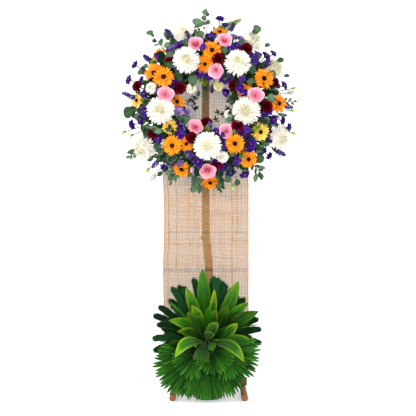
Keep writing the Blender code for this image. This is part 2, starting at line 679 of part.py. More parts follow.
def build_stand():
    """Cross log, post, rods and pegs."""
    cross_z = FOOT_AXIS_Z + FOOT_RADIUS + CROSS_RADIUS - CROSS_SEAT
    ends = np.linspace(CROSS_ENDS[0], CROSS_ENDS[1], 6)
    radii = [CROSS_RADIUS * s for s in (0.96, 1.0, 0.97, 0.98, 1.0, 0.95)]
    cross = branch([(x, 0.0, cross_z) for x in ends], radii)
    foot = cross_z + CROSS_RADIUS + GAP
    heights = [foot] + [p[1] for p in POST_PATH] + [POST_TOP]
    post = branch([(post_x(z), 0.0, z) for z in heights], [post_radius(z) for z in heights], 1)
    stub = [Vector((post_x(KNOT_Z), -0.004, KNOT_Z)),
            Vector((post_x(KNOT_Z) - 0.026, -0.006, KNOT_Z + 0.012))]
    combine(post, [solid(*rod(stub, (0.011, 0.008), 6))], "UNION")
    pegs = {}
    for name, side in (("peg_upper", 1.0), ("peg_lower", -1.0)):
        z = WREATH_Z + side * PEG_SPREAD
        ends = [Vector((post_x(z), -0.004, z)), Vector((post_x(z), RING_Y - 0.006, z))]
        pegs[name] = ends
        wide = PEG_RADIUS + GAP / math.cos(math.pi / 6)
        deep = [ends[0] + Vector((0, GAP, 0)), ends[1]]
        combine(post, [solid(*rod(deep, (wide, wide), 6))], "DIFFERENCE")
        finish(solid(*rod(ends, (PEG_RADIUS, PEG_RADIUS), 6)), name, "wood")
    finish(cross, "cross_log", "wood")
    finish(post, "post", "wood")
    for name, z, span, wood in (("top_rod", TOP_ROD_Z, TOP_ROD_ENDS, "wood"),
                                ("bottom_rod", BOTTOM_ROD_Z, BOTTOM_ROD_ENDS, "dark_wood")):
        ends = [(x, rod_y(z), z) for x in np.linspace(span[0], span[1], 3)]
        finish(branch(ends, [ROD_RADIUS] * 3), name, wood)
    return pegs


def build_sheet(pegs):
    """The cloth: a thin slab with soft waves, hung over the front of the rods."""
    low, high = BOTTOM_ROD_Z - 0.008, TOP_ROD_Z + 0.006
    cage = bmesh.new()
    bmesh.ops.create_grid(cage, x_segments=SHEET_COLUMNS, y_segments=SHEET_ROWS, size=1.0)
    for vert in cage.verts:
        across, up = 0.5 * (vert.co.x + 1.0), 0.5 * (vert.co.y + 1.0)
        z = low + up * (high - low)
        calm = math.sin(math.pi * min(max((z - BOTTOM_ROD_Z) / (TOP_ROD_Z - BOTTOM_ROD_Z), 0.0), 1.0))
        ripple = 0.0011 * math.sin(9.0 * across + 6.0 * up) + 0.0009 * math.sin(41.0 * up)
        edge = 0.003 * math.sin(17.0 * up) * (1.0 - across) * calm
        vert.co = Vector((SHEET_X[0] + across * (SHEET_X[1] - SHEET_X[0]) + edge,
                          sheet_y(z) - calm * (0.0021 + ripple), z))
    bmesh.ops.triangulate(cage, faces=cage.faces[:])
    mesh = bpy.data.meshes.new("cloth")
    cage.to_mesh(mesh)
    cage.free()
    cloth = bpy.data.objects.new("cloth", mesh)
    workshop.objects.link(cloth)
    thicken = cloth.modifiers.new("thickness", "SOLIDIFY")
    thicken.thickness = SHEET_THICKNESS
    thicken.offset = 0.0
    cloth.data = evaluated_mesh(cloth)
    cloth.modifiers.clear()
    first, last = pegs["peg_lower"]
    wide = PEG_RADIUS + 3.0 * GAP
    combine(cloth, [solid(*rod([first, last], (wide, wide), 6))], "DIFFERENCE")
    finish(cloth, "cloth_sheet", "cloth")


def turn_ring(profile, steps, name):
    """Turn a closed profile of (radius, depth) about the wreath's axis."""
    count = len(profile)
    cage = bmesh.new()
    verts = [cage.verts.new((r, y, 0.0)) for r, y in profile]
    for i in range(count):
        cage.edges.new((verts[i], verts[(i + 1) % count]))
    mesh = bpy.data.meshes.new(name)
    cage.to_mesh(mesh)
    cage.free()
    made = bpy.data.objects.new(name, mesh)
    workshop.objects.link(made)
    turn = made.modifiers.new("turn", "SCREW")
    turn.axis = "Y"
    turn.steps = steps
    turn.render_steps = steps
    turn.use_merge_vertices = True
    turn.merge_threshold = 0.00005
    turned = evaluated_mesh(made)
    bpy.data.objects.remove(made)
    centre = Vector((WREATH_X, 0.0, WREATH_Z))
    verts = [v.co + centre for v in turned.vertices]
    return solid(verts, [tuple(p.vertices) for p in turned.polygons], name)


def foam_reach(phi):
    """The distance from the foam's core to its face, at an angle round the tube."""
    a, b = FOAM_HALF_WIDTH, FOAM_HALF_DEPTH
    return a * b / math.hypot(b * math.sin(phi), a * math.cos(phi))


def tube_point(theta, phi, reach, radius=RING_RADIUS):
    """A point round the ring's tube: phi is 0 to the front and 90 degrees outwards."""
    rho = radius + reach * math.sin(phi)
    return Vector((WREATH_X + rho * math.cos(theta), RING_Y - reach * math.cos(phi),
                   WREATH_Z + rho * math.sin(theta)))


def build_ring(trunks, pegs):
    """Foam ring with a hole for each trunk of stems, and the tray that holds it."""
    back = RING_Y + FOAM_HALF_DEPTH
    a, b = FOAM_HALF_WIDTH, FOAM_HALF_DEPTH
    profile = [(RING_RADIUS - a, back), (RING_RADIUS - a, RING_Y)]
    for k in (1, 2, 3):
        phi = -0.5 * math.pi + math.pi * k / 4
        profile.append((RING_RADIUS + a * math.sin(phi), RING_Y - b * math.cos(phi)))
    profile += [(RING_RADIUS + a, RING_Y), (RING_RADIUS + a, back)]
    foam = turn_ring(profile, RING_STEPS, "foam")
    cutters = []
    for theta, phi in trunks.values():
        cutters.append(solid(*trunk_shape(theta, phi, GAP / math.cos(math.pi / 3))))
    wide = PEG_RADIUS + 1.5 * GAP
    for first, last in pegs.values():
        cutters.append(solid(*rod([first, last + Vector((0, -GAP, 0))], (wide, wide), 6)))
    combine(foam, cutters, "DIFFERENCE")
    finish(foam, "foam_ring", "foam")
    inner, outer = RING_RADIUS - a - GAP, RING_RADIUS + a + GAP
    base = back + GAP
    t = TRAY_THICKNESS
    profile = [(inner, base), (inner, base + t), (outer + t, base + t), (outer + t, RING_Y + 0.010),
               (outer, RING_Y + 0.010), (outer, base)]
    tray = turn_ring(profile, RING_STEPS, "tray")
    holes = [solid(*rod([first, last], (wide, wide), 6)) for first, last in pegs.values()]
    combine(tray, holes, "DIFFERENCE")
    finish(tray, "ring_tray", "plastic")


class Piece:
    """A head or leaf: its mesh points in place, its middle and its half sizes along its axes."""

    def __init__(self, node, verts, faces, frame, neck=None):
        self.node = node
        self.faces = faces
        self.neck = neck
        local = np.array([tuple(v) for v in verts])
        low, high = local.min(axis=0), local.max(axis=0)
        middle = 0.5 * (low + high)
        half = np.maximum(0.5 * (high - low) * 1.08, 0.0012)
        flat = np.clip(1.0 - ((local[:, :2] - middle[:2]) ** 2 / half[:2] ** 2).sum(axis=1), 0.12, 1.0)
        half[2] = (np.abs(local[:, 2] - middle[2]) / np.sqrt(flat)).max() + 0.0006
        turn = np.array(frame.to_3x3())
        self.verts = local @ turn.T + np.array(frame.translation)
        self.middle = turn @ middle + np.array(frame.translation)
        self.axes = turn * half
        self.planes = []

    def reach(self, direction):
        """How far the piece reaches from its middle along a direction."""
        return float(np.linalg.norm(self.axes.T @ direction))

    def squeeze(self):
        """Press the points softly behind each plane, all but a leaf's foot."""
        free = 0.62
        foot = self.verts[-2].copy()
        for turn in range(3):
            for direction, limit in self.planes:
                along = (self.verts - self.middle) @ direction
                share = along / limit
                over = np.clip((share - free) / (1.0 - free), 0.0, None)
                pressed = free + (1.0 - free) * (1.0 - np.exp(-over))
                target = np.where(share > free, pressed, share)
                self.verts = self.verts + np.outer((target - share) * limit, direction)
        if self.neck is None:
            self.verts[-2] = foot


def settle(pieces, clearance=0.0009):
    """Give each two pieces of different bunches a plane between them, and press them to it."""
    for i, one in enumerate(pieces):
        for other in pieces[i + 1:]:
            if one.node == other.node:
                continue
            apart = other.middle - one.middle
            distance = float(np.linalg.norm(apart))
            widest = np.linalg.norm(one.axes, 2) + np.linalg.norm(other.axes, 2)
            if distance > widest + clearance:
                continue
            line = apart / distance
            tries = [line]
            for normal in (one.axes[:, 2], other.axes[:, 2]):
                unit = normal / np.linalg.norm(normal)
                unit = unit if unit @ line > 0 else -unit
                tries += [line * (1 - s) + unit * s for s in (0.2, 0.4, 0.6, 0.8, 1.0)]
            best = None
            for direction in tries:
                direction = direction / np.linalg.norm(direction)
                reach_one, reach_other = one.reach(direction), other.reach(direction)
                spare = apart @ direction - reach_one - reach_other
                if best is None or spare > best[0]:
                    best = (spare, direction, reach_one, reach_other)
            spare, direction, reach_one, reach_other = best
            if spare > clearance:
                continue
            room = apart @ direction - clearance
            share = reach_one / (reach_one + reach_other)
            one.planes.append((direction, room * share))
            other.planes.append((-direction, room * (1 - share)))
    for piece in pieces:
        behind = WREATH_BACK - piece.middle[1]
        if piece.reach(np.array((0.0, 1.0, 0.0))) > behind:
            piece.planes.append((np.array((0.0, 1.0, 0.0)), behind))
        piece.squeeze()


def canopy_place(x, z, lift, lean):
    """Where a head at (x, z) from the wreath's middle sits, and the way that it faces."""
    rho = math.hypot(x, z)
    theta = math.atan2(z, x)
    share = max(min((rho - CANOPY_RADIUS) / CANOPY_TUBE, 0.98), -0.98)
    phi = math.asin(share)
    depth = CANOPY_TUBE * math.cos(phi) + lift
    centre = Vector((WREATH_X + x, RING_Y - depth, WREATH_Z + z))
    outward = Vector((math.cos(theta), 0.0, math.sin(theta)))
    normal = outward * math.sin(lean * phi) + Vector((0, -1, 0)) * math.cos(lean * phi)
    return centre, normal.normalized(), theta, phi


def facing(normal, centre, spin=0.0):
    """A frame whose +Z is the normal, at the centre."""
    turn = normal.to_track_quat("Z", "Y").to_matrix().to_4x4()
    return Matrix.Translation(centre) @ turn @ Matrix.Rotation(spin, 4, "Z")


def along_frame(start, direction, normal):
    """A frame whose +X runs along a direction, with +Z near the normal."""
    x = direction.normalized()
    z = (normal - x * normal.dot(x)).normalized()
    y = z.cross(x)
    turn = Matrix((x, y, z)).transposed().to_4x4()
    return Matrix.Translation(start) @ turn


def plan_heads():
    """Pieces and stems of every bunch: each stem ends in its head's middle."""
    pieces, stems = [], []
    for node, heads in BUNCHES.items():
        for kind, x, z, size, lift in heads:
            radius, lean, stem_radius, bends = HEADS[kind]
            centre, normal, theta, phi = canopy_place(x * CM, z * CM, lift * CM, lean)
            scale = radius * size
            verts, faces, neck = HEAD_SHAPES[kind](STEM_SIDES, stem_radius / scale)
            frame = facing(normal, centre, rng.uniform(0.0, math.tau))
            pieces.append(Piece(node, [v * scale for v in verts], faces, frame, neck))
            end = centre + normal * verts[neck[0]].z * scale
            drop = 0.020 if bends > 1 else 0.012
            stems.append({"node": node, "end": end, "under": end - normal * drop, "piece": pieces[-1],
                          "radius": stem_radius, "bends": bends, "theta": theta, "phi": phi,
                          "held": False})
    return pieces, stems


def plan_sprays(heads):
    """Leaves and stems of the green sprays, with leaves by turns on each side of the stem."""
    pieces, stems = [], []
    for node, sprays in SPRAYS.items():
        for x, z, count, length, width in sprays:
            tip, normal, theta, phi = canopy_place(x * CM, z * CM, 0.0, 0.7)
            outward = Vector((math.cos(theta), 0.0, math.sin(theta)))
            inside = math.hypot(x, z) * CM < 0.13
            heading = -outward if inside else outward
            run = 0.030 if inside else (0.085 if count > 7 else 0.055)
            way = (heading * math.cos(0.35) - Vector((0, 1, 0)) * math.sin(0.35)).normalized()
            if width < 0.3 * length:
                way = (way + Vector((0.9, 0, -0.2))).normalized()
            start = tip - way * run
            while any(np.linalg.norm(np.linalg.inv(head.axes) @ (np.array(start) - head.middle)) < 1.12
                      for head in heads):
                start += way * 0.004
            tip = start + way * run
            for k in range(count):
                share = (k + 1) / count
                side = 1.0 if k % 2 else -1.0
                across = way.cross(Vector((0, 1, 0))).normalized() * side
                aim = (way + across * (1.1 if k < count - 1 else 0.0)).normalized()
                base = start + way * run * (share - 0.12)
                size = length * (1.0 - 0.35 * share) * rng.uniform(0.9, 1.05)
                up = (Vector((0, -1, 0)) + across * rng.uniform(-0.3, 0.3) + heading * 0.25).normalized()
                verts, faces = leaf_shape(size, width * size / length, 0.15, 0.0016)
                pieces.append(Piece(node, verts, faces, along_frame(base, aim, up)))
            stems.append({"node": node, "end": tip, "under": start, "piece": None,
                          "radius": 0.0018, "bends": 2,
                          "theta": theta, "phi": phi if not inside else -0.9, "held": True})
    return pieces, stems


def place_trunks(stems):
    """One trunk for each bunch, on the foam's face below its heads, spread clear of the rest."""
    names = list(dict.fromkeys(s["node"] for s in stems))
    places = []
    for name in names:
        own = [s for s in stems if s["node"] == name]
        theta = math.atan2(sum(math.sin(s["theta"]) for s in own), sum(math.cos(s["theta"]) for s in own))
        phi = sum(s["phi"] for s in own) / len(own)
        if name.startswith("greens"):
            phi = 1.15
        places.append([theta, max(min(phi, 1.15), -0.85)])
    places = np.array(places)
    spacing = 0.0165
    for turn in range(400):
        spots = np.array([tube_point(t, p, foam_reach(p)) for t, p in places])
        apart = spots[:, None] - spots[None]
        distance = np.linalg.norm(apart, axis=2) + np.eye(len(spots))
        close = (distance < spacing) & ~np.eye(len(spots), dtype=bool)
        if not close.any():
            break
        for i in range(len(spots)):
            for j in np.nonzero(close[i])[0]:
                step = places[i] - places[j]
                step = step if np.abs(step).sum() > 0.001 else np.array((0.01, 0.01 * (i - j)))
                places[i] += 0.15 * (spacing - distance[i, j]) / spacing * step / np.abs(step).sum()
        places[:, 1] = np.clip(places[:, 1], -0.95, 1.2)
    return {name: (float(t), float(p)) for name, (t, p) in zip(names, places)}


def nearest_shares(p, d, q, e):
    """Shares along two rows of segments p + s d and q + t e at which they come nearest."""
    r = p - q
    dd, ee, de = (d * d).sum(-1), (e * e).sum(-1), (d * e).sum(-1)
    dr, er = (d * r).sum(-1), (e * r).sum(-1)
    spread = dd * ee - de * de
    s = np.where(spread > 1e-12, np.clip((de * er - dr * ee) / np.maximum(spread, 1e-12), 0, 1), 0.5)
    t = np.clip((de * s + er) / ee, 0, 1)
    s = np.clip((de * t - dr) / dd, 0, 1)
    return s, t


def route_stems(stems, trunks, pieces):
    """Bend the stems clear of one another, of other bunches' heads and of the foam."""
    count = len(stems)
    names = {name: k for k, name in enumerate(trunks)}
    owner = np.array([names[s["node"]] for s in stems])
    radius = np.array([s["radius"] for s in stems])
    path = np.zeros((count, 4, 3))
    for k, stem in enumerate(stems):
        theta, phi = trunks[stem["node"]]
        top = tube_point(theta, phi, foam_reach(phi) + TRUNK_RISE - 0.002)
        axis = (top - tube_point(theta, phi, 0.0)).normalized()
        across = axis.cross(Vector((0.3, 0.2, 0.9))).normalized()
        spread = 2.4 * sum(1 for other in stems[:k] if other["node"] == stem["node"])
        path[k, 0] = (tube_point(theta, phi, foam_reach(phi) + STEM_FOOT_RISE)
                      + 0.0014 * (math.cos(spread) * across + math.sin(spread) * axis.cross(across)))
        path[k, 1] = top + axis * 0.016 + (stem["under"] - top) * 0.25
        path[k, 2] = stem["under"]
        path[k, 3] = stem["end"]
    rest = path.copy()
    held = np.array([s["held"] for s in stems])
    small = np.array([s["bends"] == 1 for s in stems])
    middles = np.array([p.middle for p in pieces])
    inverses = np.array([np.linalg.inv(p.axes * (1.0 + 0.0035 / np.linalg.norm(p.axes, axis=0)))
                         for p in pieces])
    piece_owner = np.array([names[p.node] for p in pieces])
    segment = [(k, s) for k in range(count) for s in range(3)]
    stem_of = np.array([k for k, s in segment])
    part_of = np.array([s for k, s in segment])
    first, second = np.nonzero(np.triu(owner[stem_of][:, None] != owner[stem_of][None], 1))
    for turn in range(200):
        start, stop = path[stem_of, part_of], path[stem_of, part_of + 1]
        along = stop - start
        s, t = nearest_shares(start[first], along[first], start[second], along[second])
        gap = (start[first] + s[:, None] * along[first]) - (start[second] + t[:, None] * along[second])
        distance = np.linalg.norm(gap, axis=1)
        need = radius[stem_of[first]] + radius[stem_of[second]] + 0.0016
        push = np.zeros_like(path)
        for k in np.nonzero(distance < need)[0]:
            a, b = first[k], second[k]
            way = gap[k] / max(distance[k], 1e-6)
            amount = 0.55 * (need[k] - distance[k])
            for index, share, sign in ((a, s[k], 1.0), (b, t[k], -1.0)):
                push[stem_of[index], part_of[index]] += sign * amount * (1 - share) * way
                push[stem_of[index], part_of[index] + 1] += sign * amount * share * way
        for share in (0.0, 0.25, 0.5, 0.75):
            spots = start + share * along
            local = np.einsum("pij,spj->spi", inverses, spots[:, None] - middles[None])
            depth = np.linalg.norm(local, axis=2)
            inside = (depth < 1.0) & (owner[stem_of][:, None] != piece_owner[None])
            for a, p in zip(*np.nonzero(inside)):
                if part_of[a] == 2 and share > 0.5:
                    continue
                away = spots[a] - middles[p]
                move = away * min(1.0 / max(depth[a, p], 0.2) - 1.0, 0.6) * 0.5
                push[stem_of[a], part_of[a]] += (1 - share) * move
                push[stem_of[a], part_of[a] + 1] += share * move
        path[:, 1:3] += np.clip(push[:, 1:3], -0.006, 0.006)
        if turn < 90:
            path[:, 1:3] += 0.02 * (rest[:, 1:3] - path[:, 1:3])
        for k in (1, 2):
            flat = path[:, k] - np.array((WREATH_X, RING_Y, WREATH_Z))
            rho = np.hypot(flat[:, 0], flat[:, 2])
            u, v = rho - RING_RADIUS, flat[:, 1]
            inside = np.hypot(u / (FOAM_HALF_WIDTH + 0.009), v / (FOAM_HALF_DEPTH + 0.009))
            grow = np.where(inside < 1.0, 1.0 / np.maximum(inside, 0.3), 1.0)
            new_rho = RING_RADIUS + u * grow
            path[:, k, 0] = WREATH_X + flat[:, 0] / rho * new_rho
            path[:, k, 2] = WREATH_Z + flat[:, 2] / rho * new_rho
            path[:, k, 1] = np.minimum(RING_Y + v * grow, WREATH_BACK - 0.004)
        path[held, 2] = rest[held, 2]
        halfway = 0.5 * (path[small, 1] + path[small, 3])
        path[small, 1] += path[small, 2] - halfway
        path[small, 2] = 0.5 * (path[small, 1] + path[small, 3])
    routes = [[Vector(p) for p in row] for row in path]
    for route, few in zip(routes, small):
        if few:
            del route[2]
    return routes


def flower(piece, route, radius):
    """A head with its stem grown from its neck along the route, as one closed mesh."""
    verts = [Vector(v) for v in piece.verts]
    faces = list(piece.faces)
    above = list(piece.neck)
    sides = len(above)
    centre = sum((verts[i] for i in above), Vector()) / sides
    side = verts[above[0]] - centre
    along = (route[-2] - centre).normalized()
    turn = 1.0 if (verts[above[1]] - centre).dot(along.cross(side)) > 0.0 else -1.0
    for k in range(len(route) - 2, 0, -1):
        before = route[k + 1] if k < len(route) - 2 else centre
        after = route[k - 1]
        along = (after - before).normalized()
        side = (side - along * side.dot(along)).normalized()
        other = along.cross(side) * turn
        first = len(verts)
        for i in range(sides):
            angle = math.tau * i / sides
            verts.append(route[k] + radius * (math.cos(angle) * side + math.sin(angle) * other))
        below = list(range(first, first + sides))
        for i in range(sides):
            j = (i + 1) % sides
            faces += [(above[i], below[i], below[j]), (above[i], below[j], above[j])]
        above = below
    verts.append(route[0])
    faces += [(above[i], len(verts) - 1, above[(i + 1) % sides]) for i in range(sides)]
    return solid(verts, faces)


def trunk_shape(theta, phi, grow=0.0):
    """The gathered feet of a bunch's stems: a peg in the foam with a wider collar over it."""
    reach = foam_reach(phi)
    steps = (-TRUNK_DEPTH - 0.7 * grow, 0.0015, TRUNK_RISE)
    low, face, top = (tube_point(theta, phi, reach + step) for step in steps)
    axis = (top - low).normalized()
    side = axis.cross(Vector((0.3, 0.2, 0.9))).normalized()
    other = axis.cross(side)
    rings = []
    for middle, radius in ((low, TRUNK_RADIUS + grow), (face, TRUNK_RADIUS + grow), (top, COLLAR_RADIUS)):
        rings.append([middle + radius * (math.cos(math.tau * k / 3) * side
                                         + math.sin(math.tau * k / 3) * other) for k in range(3)])
    if grow:
        rings[2] = [v + axis * 0.004 for v in rings[1]]
    return loft(rings)


def build_wreath():
    """Bunches and sprays, each one body of stems, heads and leaves on its own trunk."""
    heads, head_stems = plan_heads()
    leaves, leaf_stems = plan_sprays(heads)
    pieces, stems = heads + leaves, head_stems + leaf_stems
    trunks = place_trunks(stems)
    settle(pieces)
    routes = route_stems(stems, trunks, pieces)
    for node, (theta, phi) in trunks.items():
        base = solid(*trunk_shape(theta, phi), node)
        joined = []
        for stem, route in zip(stems, routes):
            if stem["node"] != node:
                continue
            if stem["piece"] is None:
                joined.append(solid(*rod(route[1:], (stem["radius"],), STEM_SIDES, route[0])))
            else:
                joined.append(flower(stem["piece"], route, stem["radius"]))
        joined += [solid(p.verts, p.faces) for p in pieces if p.node == node and p.neck is None]
        combine(base, joined, "UNION")
        finish(base, node, node.split("_")[0])
    return trunks


def leaf_depth(x, z, depth):
    """The depth of a leaf's face: a shallow cone that opens to the front round the pot's axis."""
    reach = math.hypot(x, z - POT_FOAM_TOP)
    return depth - CONE_SLOPE * reach * reach / (reach + 0.10)


def blade(neck, start, tip, width, bow, forward, depth, profile, jagged=0.0):
    """A leaf on its stalk in its own depth band: a bowed rib with a folded blade."""
    a, b = Vector(start), Vector(tip)
    way = (b - a).normalized()
    across = Vector((-way.y, way.x))
    foot = Vector((neck.x, neck.z))
    stations = [(foot, 0.0026, 0.0026, 0.0)]
    for place, share in profile:
        lean = 4.0 * place * (1.0 - place)
        stations.append((a.lerp(b, place) + across * bow * lean, 0.5 * width * share, 0.0009, lean))
    rings = []
    for k, (middle, half, thick, lean) in enumerate(stations):
        y = leaf_depth(middle.x, middle.y, depth if k else neck.y) - forward * lean
        rise = 0.16 * half if k else 0.0
        left, right = middle + across * half, middle - across * half
        rings.append([Vector((left.x, y - rise, left.y)), Vector((middle.x, y - thick, middle.y)),
                      Vector((right.x, y - rise, right.y)), Vector((middle.x, y + thick, middle.y))])
    if jagged:
        for corner, pull in ((0, 0.3), (1, 1.0), (2, 0.0), (3, 1.0)):
            rings[-1][corner] += Vector((way.x, 0.0, way.y)) * (-jagged * pull)
        return loft(rings)
    return loft(rings, None, Vector((b.x, leaf_depth(b.x, b.y, depth), b.y)))


def plant_stem(foot, neck):
    """A plant's stem in the pot's foam, wider at the neck where its stalks part."""
    face = Vector((foot.x, foot.y, POT_FOAM_TOP + 0.002))
    rings = [[middle + radius * Vector((math.cos(math.tau * k / 4), math.sin(math.tau * k / 4), 0.0))
              for k in range(4)]
             for middle, radius in ((foot, PLANT_STEM_RADIUS), (face, PLANT_STEM_RADIUS),
                                    (neck, PLANT_COLLAR_RADIUS))]
    return loft(rings)


POINTED = ((0.16, 0.46), (0.40, 0.92), (0.64, 0.96), (0.85, 0.54))
BROAD = ((0.16, 0.52), (0.42, 0.98), (0.72, 1.0), (1.0, 0.72))
BLUNT = ((0.30, 0.44), (0.72, 0.96), (1.00, 0.86))


def plant_root(node, neck_z):
    """Foot and neck of a plant's stem in the pot's foam."""
    x, y = ROOTS[node]
    return Vector((x, y, POT_FOAM_TOP - 0.040)), Vector((x, y, neck_z))


def build_leaves():
    """Broad leaves, blunt leaves and fans, each plant in a depth band of its own."""
    roots = []
    down = Vector((0, 0, 0.010))
    for node, (depth, leaves) in BROAD_LEAVES.items():
        foot, neck = plant_root(node, LEAF_NECK_Z)
        roots.append((foot, neck))
        joined = []
        forward_stem = neck.y - depth > 0.05
        if forward_stem:
            reach = depth - LEAF_STEP * (len(leaves) - 0.5)
            joined.append(solid(*rod([neck - down, Vector((neck.x, reach, neck.z))], (0.0046,), 5)))
        for k, (x0, z0, x1, z1, width, bow, forward) in enumerate(leaves):
            bow = 0.5 * bow * CM * (1.0 if x1 >= x0 else -1.0)
            wide = width > 6
            hold = Vector((neck.x, depth - LEAF_STEP * k, neck.z)) if forward_stem else neck - down
            shape = blade(hold, (x0 * CM, z0 * CM), (x1 * CM, z1 * CM), width * CM, bow,
                          0.5 * forward * CM, depth - LEAF_STEP * k, BROAD if wide else POINTED,
                          0.004 if wide else 0.0)
            joined.append(solid(*shape))
        base = solid(*plant_stem(foot, neck), node)
        finish(combine(base, joined, "UNION"), node, "leaves")
    for node, (depth, tips) in PADDLES.items():
        foot, neck = plant_root(node, LEAF_NECK_Z - 0.006)
        roots.append((foot, neck))
        joined = []
        for k, (x, z) in enumerate(tips):
            start = (neck.x + 0.12 * (x * CM - neck.x), neck.z + 0.12 * (z * CM - neck.z))
            bow = 0.010 if x > 0 else -0.010
            shape = blade(neck - down, start, (x * CM, z * CM), 0.030, bow, 0.0,
                          depth - LEAF_STEP * (k % 2), BLUNT, 0.008)
            joined.append(solid(*shape))
        base = solid(*plant_stem(foot, neck), node)
        finish(combine(base, joined, "UNION"), node, "paddles")
    for node, (depth, hub, radius, low, high, fingers) in FANS.items():
        foot, neck = plant_root(node, FAN_NECK_Z)
        roots.append((foot, neck))
        blade_mesh, heart = fan_mesh(depth, hub, radius, low, high, fingers)
        bend = Vector((0.45 * neck.x + 0.55 * heart.x, 0.35 * neck.y + 0.65 * heart.y, neck.z - 0.002))
        stalk = [neck - Vector((0, 0, 0.004)), bend, heart]
        base = solid(*plant_stem(foot, neck), node)
        joined = [solid(*blade_mesh), solid(*rod(stalk, (0.0034, 0.0026), 4))]
        finish(combine(base, joined, "UNION"), node, "fan")
    return roots


def fan_mesh(depth, hub, radius, low, high, fingers):
    """A pleated fan of pointed fingers round a hub."""
    x, z = hub[0] * CM, hub[1] * CM

    def spot(angle, reach, pleat):
        px = x + reach * math.cos(angle)
        pz = max(z + reach * math.sin(angle), 0.004)
        return Vector((px, leaf_depth(px, pz, depth) - pleat, pz))

    low, high = math.radians(low), math.radians(high)
    step = (high - low) / fingers
    heart = Vector((x, leaf_depth(x, z, depth), z))
    verts = [heart - Vector((0, 0.0025, 0)), heart + Vector((0, 0.0025, 0))]
    faces = []
    for k in range(fingers):
        middle = low + (k + 0.5) * step
        length = radius * rng.uniform(0.93, 1.0) * (1.0 - 0.10 * abs(2 * (k + 0.5) / fingers - 1) ** 3)
        verts.append(spot(low + k * step, 0.60 * radius, 0.0))
        verts.append(spot(middle, 0.56 * radius, 0.0036))
        verts.append(spot(middle, 0.58 * radius, -0.0004 + 0.0010))
        verts.append(spot(middle + rng.uniform(-0.1, 0.1) * step, length, 0.0015))
    verts.append(spot(high, 0.60 * radius, 0.0))
    last = len(verts) - 1
    for k in range(fingers):
        notch, front, back, tip = (2 + 4 * k + i for i in range(4))
        other = 2 + 4 * (k + 1) if k < fingers - 1 else last
        faces += [(0, notch, front), (0, front, other), (notch, tip, front), (front, tip, other)]
        faces += [(1, back, notch), (1, other, back), (notch, back, tip), (back, other, tip)]
    faces += [(0, 1, 2), (0, last, 1)]
    return (verts, faces), heart


def build_pot(roots):
    """Pot with an open top, and the foam in it with a hole for each plant."""
    outer = [(POT_FOOT_RADIUS, 0.0), (POT_RADIUS, POT_HEIGHT)]
    inner = [(POT_RADIUS - POT_WALL, POT_HEIGHT), (POT_FOOT_RADIUS - POT_WALL, POT_WALL)]
    steps = 12

    def turned(profile, first, last):
        rings = [[Vector((r * math.cos(math.tau * i / steps),
                          POT_Y + r * math.sin(math.tau * i / steps), z)) for i in range(steps)]
                 for r, z in profile]
        return loft(rings, first, last)

    verts, faces = turned(outer + inner, (0, POT_Y, 0), (0, POT_Y, POT_WALL))
    finish(solid(verts, faces), "pot", "plastic")
    foot = POT_FOOT_RADIUS - POT_WALL - 2 * GAP
    top = POT_RADIUS - POT_WALL - 2 * GAP
    profile = [(foot, POT_WALL + GAP), (top, POT_HEIGHT), (top - 0.001, POT_FOAM_TOP - 0.012),
               (top - 0.012, POT_FOAM_TOP)]
    verts, faces = turned(profile, (0, POT_Y, POT_WALL + GAP), (0, POT_Y, POT_FOAM_TOP))
    foam = solid(verts, faces)
    wide = PLANT_STEM_RADIUS + GAP / math.cos(math.pi / 4)
    cutters = []
    for low, high in roots:
        rings = [[Vector((low.x + wide * math.cos(math.tau * k / 4),
                          low.y + wide * math.sin(math.tau * k / 4), z)) for k in range(4)]
                 for z in (low.z - GAP, high.z)]
        cutters.append(solid(*loft(rings)))
    combine(foam, cutters, "DIFFERENCE")
    finish(foam, "pot_foam", "foam")


build_feet()
peg_ends = build_stand()
build_sheet(peg_ends)
trunk_places = build_wreath()
build_ring(trunk_places, peg_ends)
plant_roots = build_leaves()
build_pot(plant_roots)
bpy.data.collections.remove(workshop)
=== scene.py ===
import math
import random

import bpy
import numpy as np
from mathutils import Matrix, Vector, noise


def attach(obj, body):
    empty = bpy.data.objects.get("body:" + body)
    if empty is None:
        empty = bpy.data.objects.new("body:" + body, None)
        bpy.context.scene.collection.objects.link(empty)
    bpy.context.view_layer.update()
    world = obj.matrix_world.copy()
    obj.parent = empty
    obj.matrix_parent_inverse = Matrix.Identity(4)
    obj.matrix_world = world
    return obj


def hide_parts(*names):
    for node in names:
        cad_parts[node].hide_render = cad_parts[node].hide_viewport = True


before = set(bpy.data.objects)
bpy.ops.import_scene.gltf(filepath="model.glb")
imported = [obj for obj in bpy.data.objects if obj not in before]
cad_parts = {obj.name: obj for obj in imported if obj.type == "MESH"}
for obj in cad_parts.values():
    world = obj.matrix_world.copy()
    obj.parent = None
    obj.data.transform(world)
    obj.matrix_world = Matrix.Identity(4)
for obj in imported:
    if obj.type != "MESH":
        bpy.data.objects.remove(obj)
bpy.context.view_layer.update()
print("frame loaded:", len(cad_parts), "nodes")

cm = 0.01
goldenTurn = 2.39996
towardsFront = Vector((0, -1, 0))

# camera first: level, at the height of the leaves' top, as the photograph was taken
cameraLook = {"place": (0.0, -4.2, 0.862), "lens": 77.4, "sensor": 36.0}
camera = bpy.data.objects.new("camera", bpy.data.cameras.new("camera"))
bpy.context.scene.collection.objects.link(camera)
camera.location = cameraLook["place"]
camera.rotation_euler = (math.radians(90), 0, 0)
camera.data.lens = cameraLook["lens"]
camera.data.sensor_width = cameraLook["sensor"]
bpy.context.scene.camera = camera
bpy.context.scene.view_settings.view_transform = "Standard"


# shader groups used by more than one material

